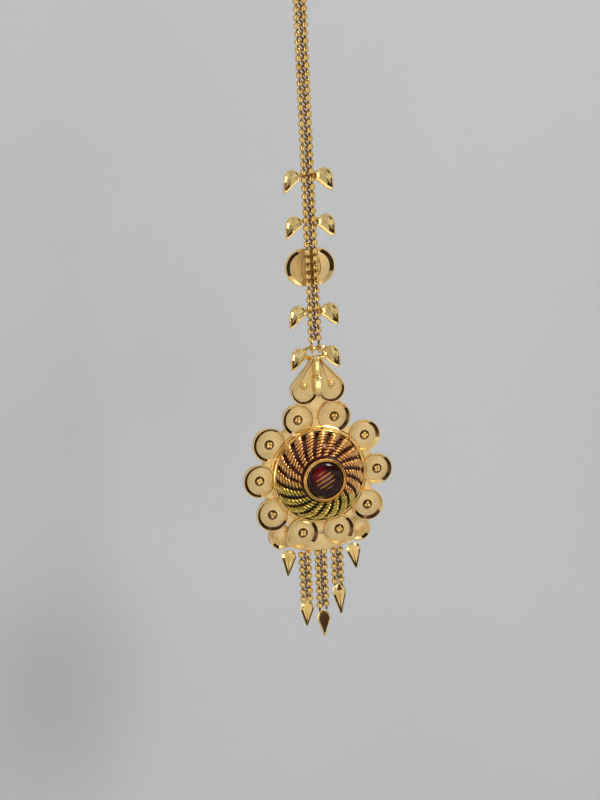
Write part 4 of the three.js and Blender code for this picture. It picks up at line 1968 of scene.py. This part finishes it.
@dataclass
class Studio:
    """A pale sweep behind the jewel, soft lamps, and the camera."""

    target: Place
    azimuth: float = math.radians(-15.0)
    elevation: float = math.radians(12.5)
    roll: float = math.radians(2.65)
    distance: float = 0.52
    picture_height: float = 0.1456
    off_centre: FlatPoint = (-0.00322, 0.01347)
    wall: float = 0.060
    floor: float = -0.26
    sheet_size: float = 2.4
    wall_height: float = 1.6
    corner: float = 0.045
    room_strength: float = 0.68
    bands: tuple[FlatPoint, ...] = (
        (0.0, 0.45),
        (0.18, 0.5),
        (0.28, 1.15),
        (0.55, 0.95),
        (0.61, 0.15),
        (0.72, 0.15),
        (0.80, 1.1),
        (1.0, 1.4),
    )

    def pick_back_edge(self, sheet: Piece) -> None:
        """Selects the edge where the floor meets the wall, and nothing else."""
        bpy.ops.mesh.select_all(action="DESELECT")
        shape = bmesh.from_edit_mesh(sheet.data)
        for edge in shape.edges:
            if all(v.co.y > self.wall - 0.01 and v.co.z < self.floor + 0.01 for v in edge.verts):
                edge.select_set(True)
        bmesh.update_edit_mesh(sheet.data)

    def sweep(self) -> None:
        """Makes the floor and wall as one sheet with a rounded corner."""
        middle = (0, self.wall - self.sheet_size / 2, self.floor)
        bpy.ops.mesh.primitive_plane_add(size=self.sheet_size, location=middle)
        sheet = bpy.context.object
        sheet.name = "studio_sweep"
        bpy.ops.object.transform_apply()
        with editing(sheet, "EDGE"):
            self.pick_back_edge(sheet)
            lift(self.wall_height)
            self.pick_back_edge(sheet)
            bpy.ops.mesh.bevel(offset=self.corner, segments=12, affect="EDGES")
            bpy.ops.mesh.select_all(action="SELECT")
            bpy.ops.mesh.normals_make_consistent(inside=True)
        facing = sum((p.normal * p.area for p in sheet.data.polygons), Vector())
        if facing.z < facing.y:
            sheet.data.flip_normals()
        smooth(sheet)
        recipe, shader = new_material("pale_paper")
        where = recipe.add("TexCoord").outputs["Object"]
        tone = recipe.blend(recipe.noise(where, 9.0), (0.63, 0.645, 0.655), (0.69, 0.70, 0.71))
        recipe.wire(tone, shader.inputs["Base Color"])
        shader.inputs["Roughness"].default_value = 0.85
        shader.inputs["Specular IOR Level"].default_value = 0.15
        clear = recipe.add("BsdfTransparent")
        side = recipe.add("NewGeometry").outputs["Backfacing"]
        mix = recipe.add("MixShader")
        recipe.wire(side, mix.inputs["Fac"])
        recipe.wire(shader.outputs["BSDF"], mix.inputs[1])
        recipe.wire(clear.outputs["BSDF"], mix.inputs[2])
        out = next(n for n in recipe.tree.nodes if n.type == "OUTPUT_MATERIAL")
        recipe.wire(mix.outputs["Shader"], out.inputs["Surface"])
        sheet.data.materials.append(bpy.data.materials["pale_paper"])

    def lamp(self, plan: LampPlan) -> None:
        """Hangs a soft lamp that faces the rosette."""
        data = bpy.data.lights.new(plan.name, "AREA")
        data.shape = "RECTANGLE"
        data.size, data.size_y = plan.size
        data.energy = plan.watts
        data.color = plan.tint
        lamp = bpy.data.objects.new(plan.name, data)
        bpy.context.scene.collection.objects.link(lamp)
        aimed_at = Vector((self.target.x, self.target.y, self.target.z + 0.02))
        lamp.location = Vector(plan.at) + aimed_at
        lamp.rotation_mode = "QUATERNION"
        lamp.rotation_quaternion = (aimed_at - lamp.location).to_track_quat("-Z", "Y")

    def back(self) -> Vector:
        """The direction from the jewel to the camera."""
        a, e = self.azimuth, self.elevation
        return Vector((math.sin(a) * math.cos(e), -math.cos(a) * math.cos(e), math.sin(e)))

    def room(self) -> None:
        """Lights the room round the lamps: bright above, dark below and behind the camera."""
        world = bpy.data.worlds.new("studio_room")
        bpy.context.scene.world = world
        world.use_nodes = True
        recipe = Recipe(world.node_tree)
        where = recipe.add("TexCoord").outputs["Generated"]
        parts = recipe.add("SeparateXYZ")
        recipe.wire(where, parts.inputs["Vector"])
        height = recipe.sum("MULTIPLY_ADD", parts.outputs["Z"], 0.5)
        height.node.inputs[2].default_value = 0.5
        bands = recipe.add("ValToRGB")
        recipe.wire(height, bands.inputs["Fac"])
        stops = bands.color_ramp.elements
        while len(stops) < len(self.bands):
            stops.new(1.0)
        for stop, (at, level) in zip(stops, self.bands):
            stop.position = at
            stop.color = (level, level, level, 1.0)
        patches = recipe.ramp(recipe.noise(where, 3.2, 1.0), 0.38, 0.62)
        shade = recipe.blend(patches, (0.5, 0.48, 0.46), (1.08, 1.08, 1.1))
        mixed = recipe.add("Mix", data_type="RGBA", blend_type="MULTIPLY")
        mixed.inputs["Factor"].default_value = 1.0
        recipe.wire(bands.outputs["Color"], mixed.inputs["A"])
        recipe.wire(shade, mixed.inputs["B"])
        tone = next(o for o in mixed.outputs if o.type == "RGBA")
        ground = next(n for n in recipe.tree.nodes if n.type == "BACKGROUND")
        recipe.wire(tone, ground.inputs["Color"])
        ground.inputs["Strength"].default_value = self.room_strength

    def camera(self) -> None:
        """Sets the camera a little to the left of the jewel and above it."""
        data = bpy.data.cameras.new("camera")
        camera = bpy.data.objects.new("camera", data)
        bpy.context.scene.collection.objects.link(camera)
        bpy.context.scene.camera = camera
        back = self.back()
        right = Vector((math.cos(self.azimuth), math.sin(self.azimuth), 0))
        up = back.cross(right)
        tilt = self.roll
        rolled_up = up * math.cos(tilt) + right * math.sin(tilt)
        rolled_right = right * math.cos(tilt) - up * math.sin(tilt)
        data.sensor_width = 36.0
        data.lens = data.sensor_width / 2 / (self.picture_height / 2 / self.distance)
        middle = Vector((self.target.x, self.target.y, self.target.z))
        middle += rolled_right * self.off_centre[0] + rolled_up * self.off_centre[1]
        camera.matrix_world = Matrix.Translation(middle + back * self.distance) @ Matrix(
            (
                (rolled_right.x, rolled_up.x, back.x),
                (rolled_right.y, rolled_up.y, back.y),
                (rolled_right.z, rolled_up.z, back.z),
            )
        ).to_4x4()

    def build(self) -> None:
        """Sets the whole studio."""
        self.sweep()
        self.room()
        for plan in LAMPS:
            self.lamp(plan)
        self.camera()


# ---------------------------------------------------------------- the jewel


def middle_of(node: str) -> Vector:
    """The middle of a CAD node's box, in metres."""
    low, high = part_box(node)
    return (low + high) / 2


def main() -> None:
    """Builds the jewel and its studio."""
    logging.basicConfig(level=logging.INFO, format="%(message)s")
    bpy.ops.object.select_all(action="DESELECT")
    bpy.context.scene.view_settings.view_transform = "Standard"

    dome_middle = middle_of("dome")
    stone_low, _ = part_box("stone")
    frame_low, frame_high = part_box("pendant_frame")
    plate_thick = 1.2 * MM
    rosette = Place(0.0, frame_high.y - plate_thick, dome_middle.z)
    rack = FinishRack(
        dome_centre=(0.0, rosette.y, rosette.z),
        dome_radius=8.0 * MM,
        stone_centre=(0.0, stone_low.y, rosette.z),
    )
    rack.mix_all()
    jeweller = Jeweller(rack)
    origin = Place(0.0, 0.0, 0.0)

    HairHook().build(jeweller, origin)

    chain_low, chain_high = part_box("chain")
    bar_height = chain_high.z / MM - BAR_RING_REACH
    pin_height = chain_low.z / MM + PIN_RING_REACH
    chain = DoubleChain()
    top, foot = bar_height - RING_GAP, pin_height + RING_GAP
    links = chain.build("chain_links", rack, top, foot, HANG_SHIFT)
    rings = []
    for x in (-chain.row_spread, chain.row_spread):
        for y, radius in ((bar_height, 0.86), (pin_height, 0.82)):
            ring = make_link_ring("end_link", radius, RING_WIRE, 1.0, (28, 10))
            rack.finished(ring, Finish.POLISHED)
            on_edge = Matrix.Rotation(math.pi / 2, 4, "Y")
            ring.data.transform(Matrix.Translation((x + HANG_SHIFT, y, 0)) @ on_edge)
            rings.append(ring)
    whole_chain = fuse("chain_links", [links, *rings])
    jeweller.set_piece(whole_chain, origin, Body.CHAIN, ["chain"])

    for number in (1, 2, 3):
        node = f"leaf_pair_{number}"
        _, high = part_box(node)
        place = Place(HANG_SHIFT * MM, 0.0, high.z - LEAF_RISE * MM)
        LeafPair().build(f"leaves_{number}", jeweller, place, node)

    disc_low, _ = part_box("twin_disc")
    disc = middle_of("twin_disc")
    TwinDisc().build(jeweller, Place(HANG_SHIFT * MM, disc_low.y, disc.z))

    Plate().build(jeweller, rosette)
    Petals().build(jeweller, rosette)
    FiligreeDome().build(jeweller, rosette)
    StoneSetting().build(jeweller, rosette)
    heart = Place(HANG_SHIFT * MM, rosette.y, rosette.z)
    HeartTop().build(jeweller, heart)
    pin_world = chain_low.z + PIN_RING_REACH * MM
    Bail().build(jeweller, heart, (pin_world - rosette.z) / MM, rosette.y / MM)
    FootBar().build(jeweller, rosette)
    Fringe().build(jeweller, rosette)

    Studio(rosette).build()


if __name__ == "__main__":
    main()
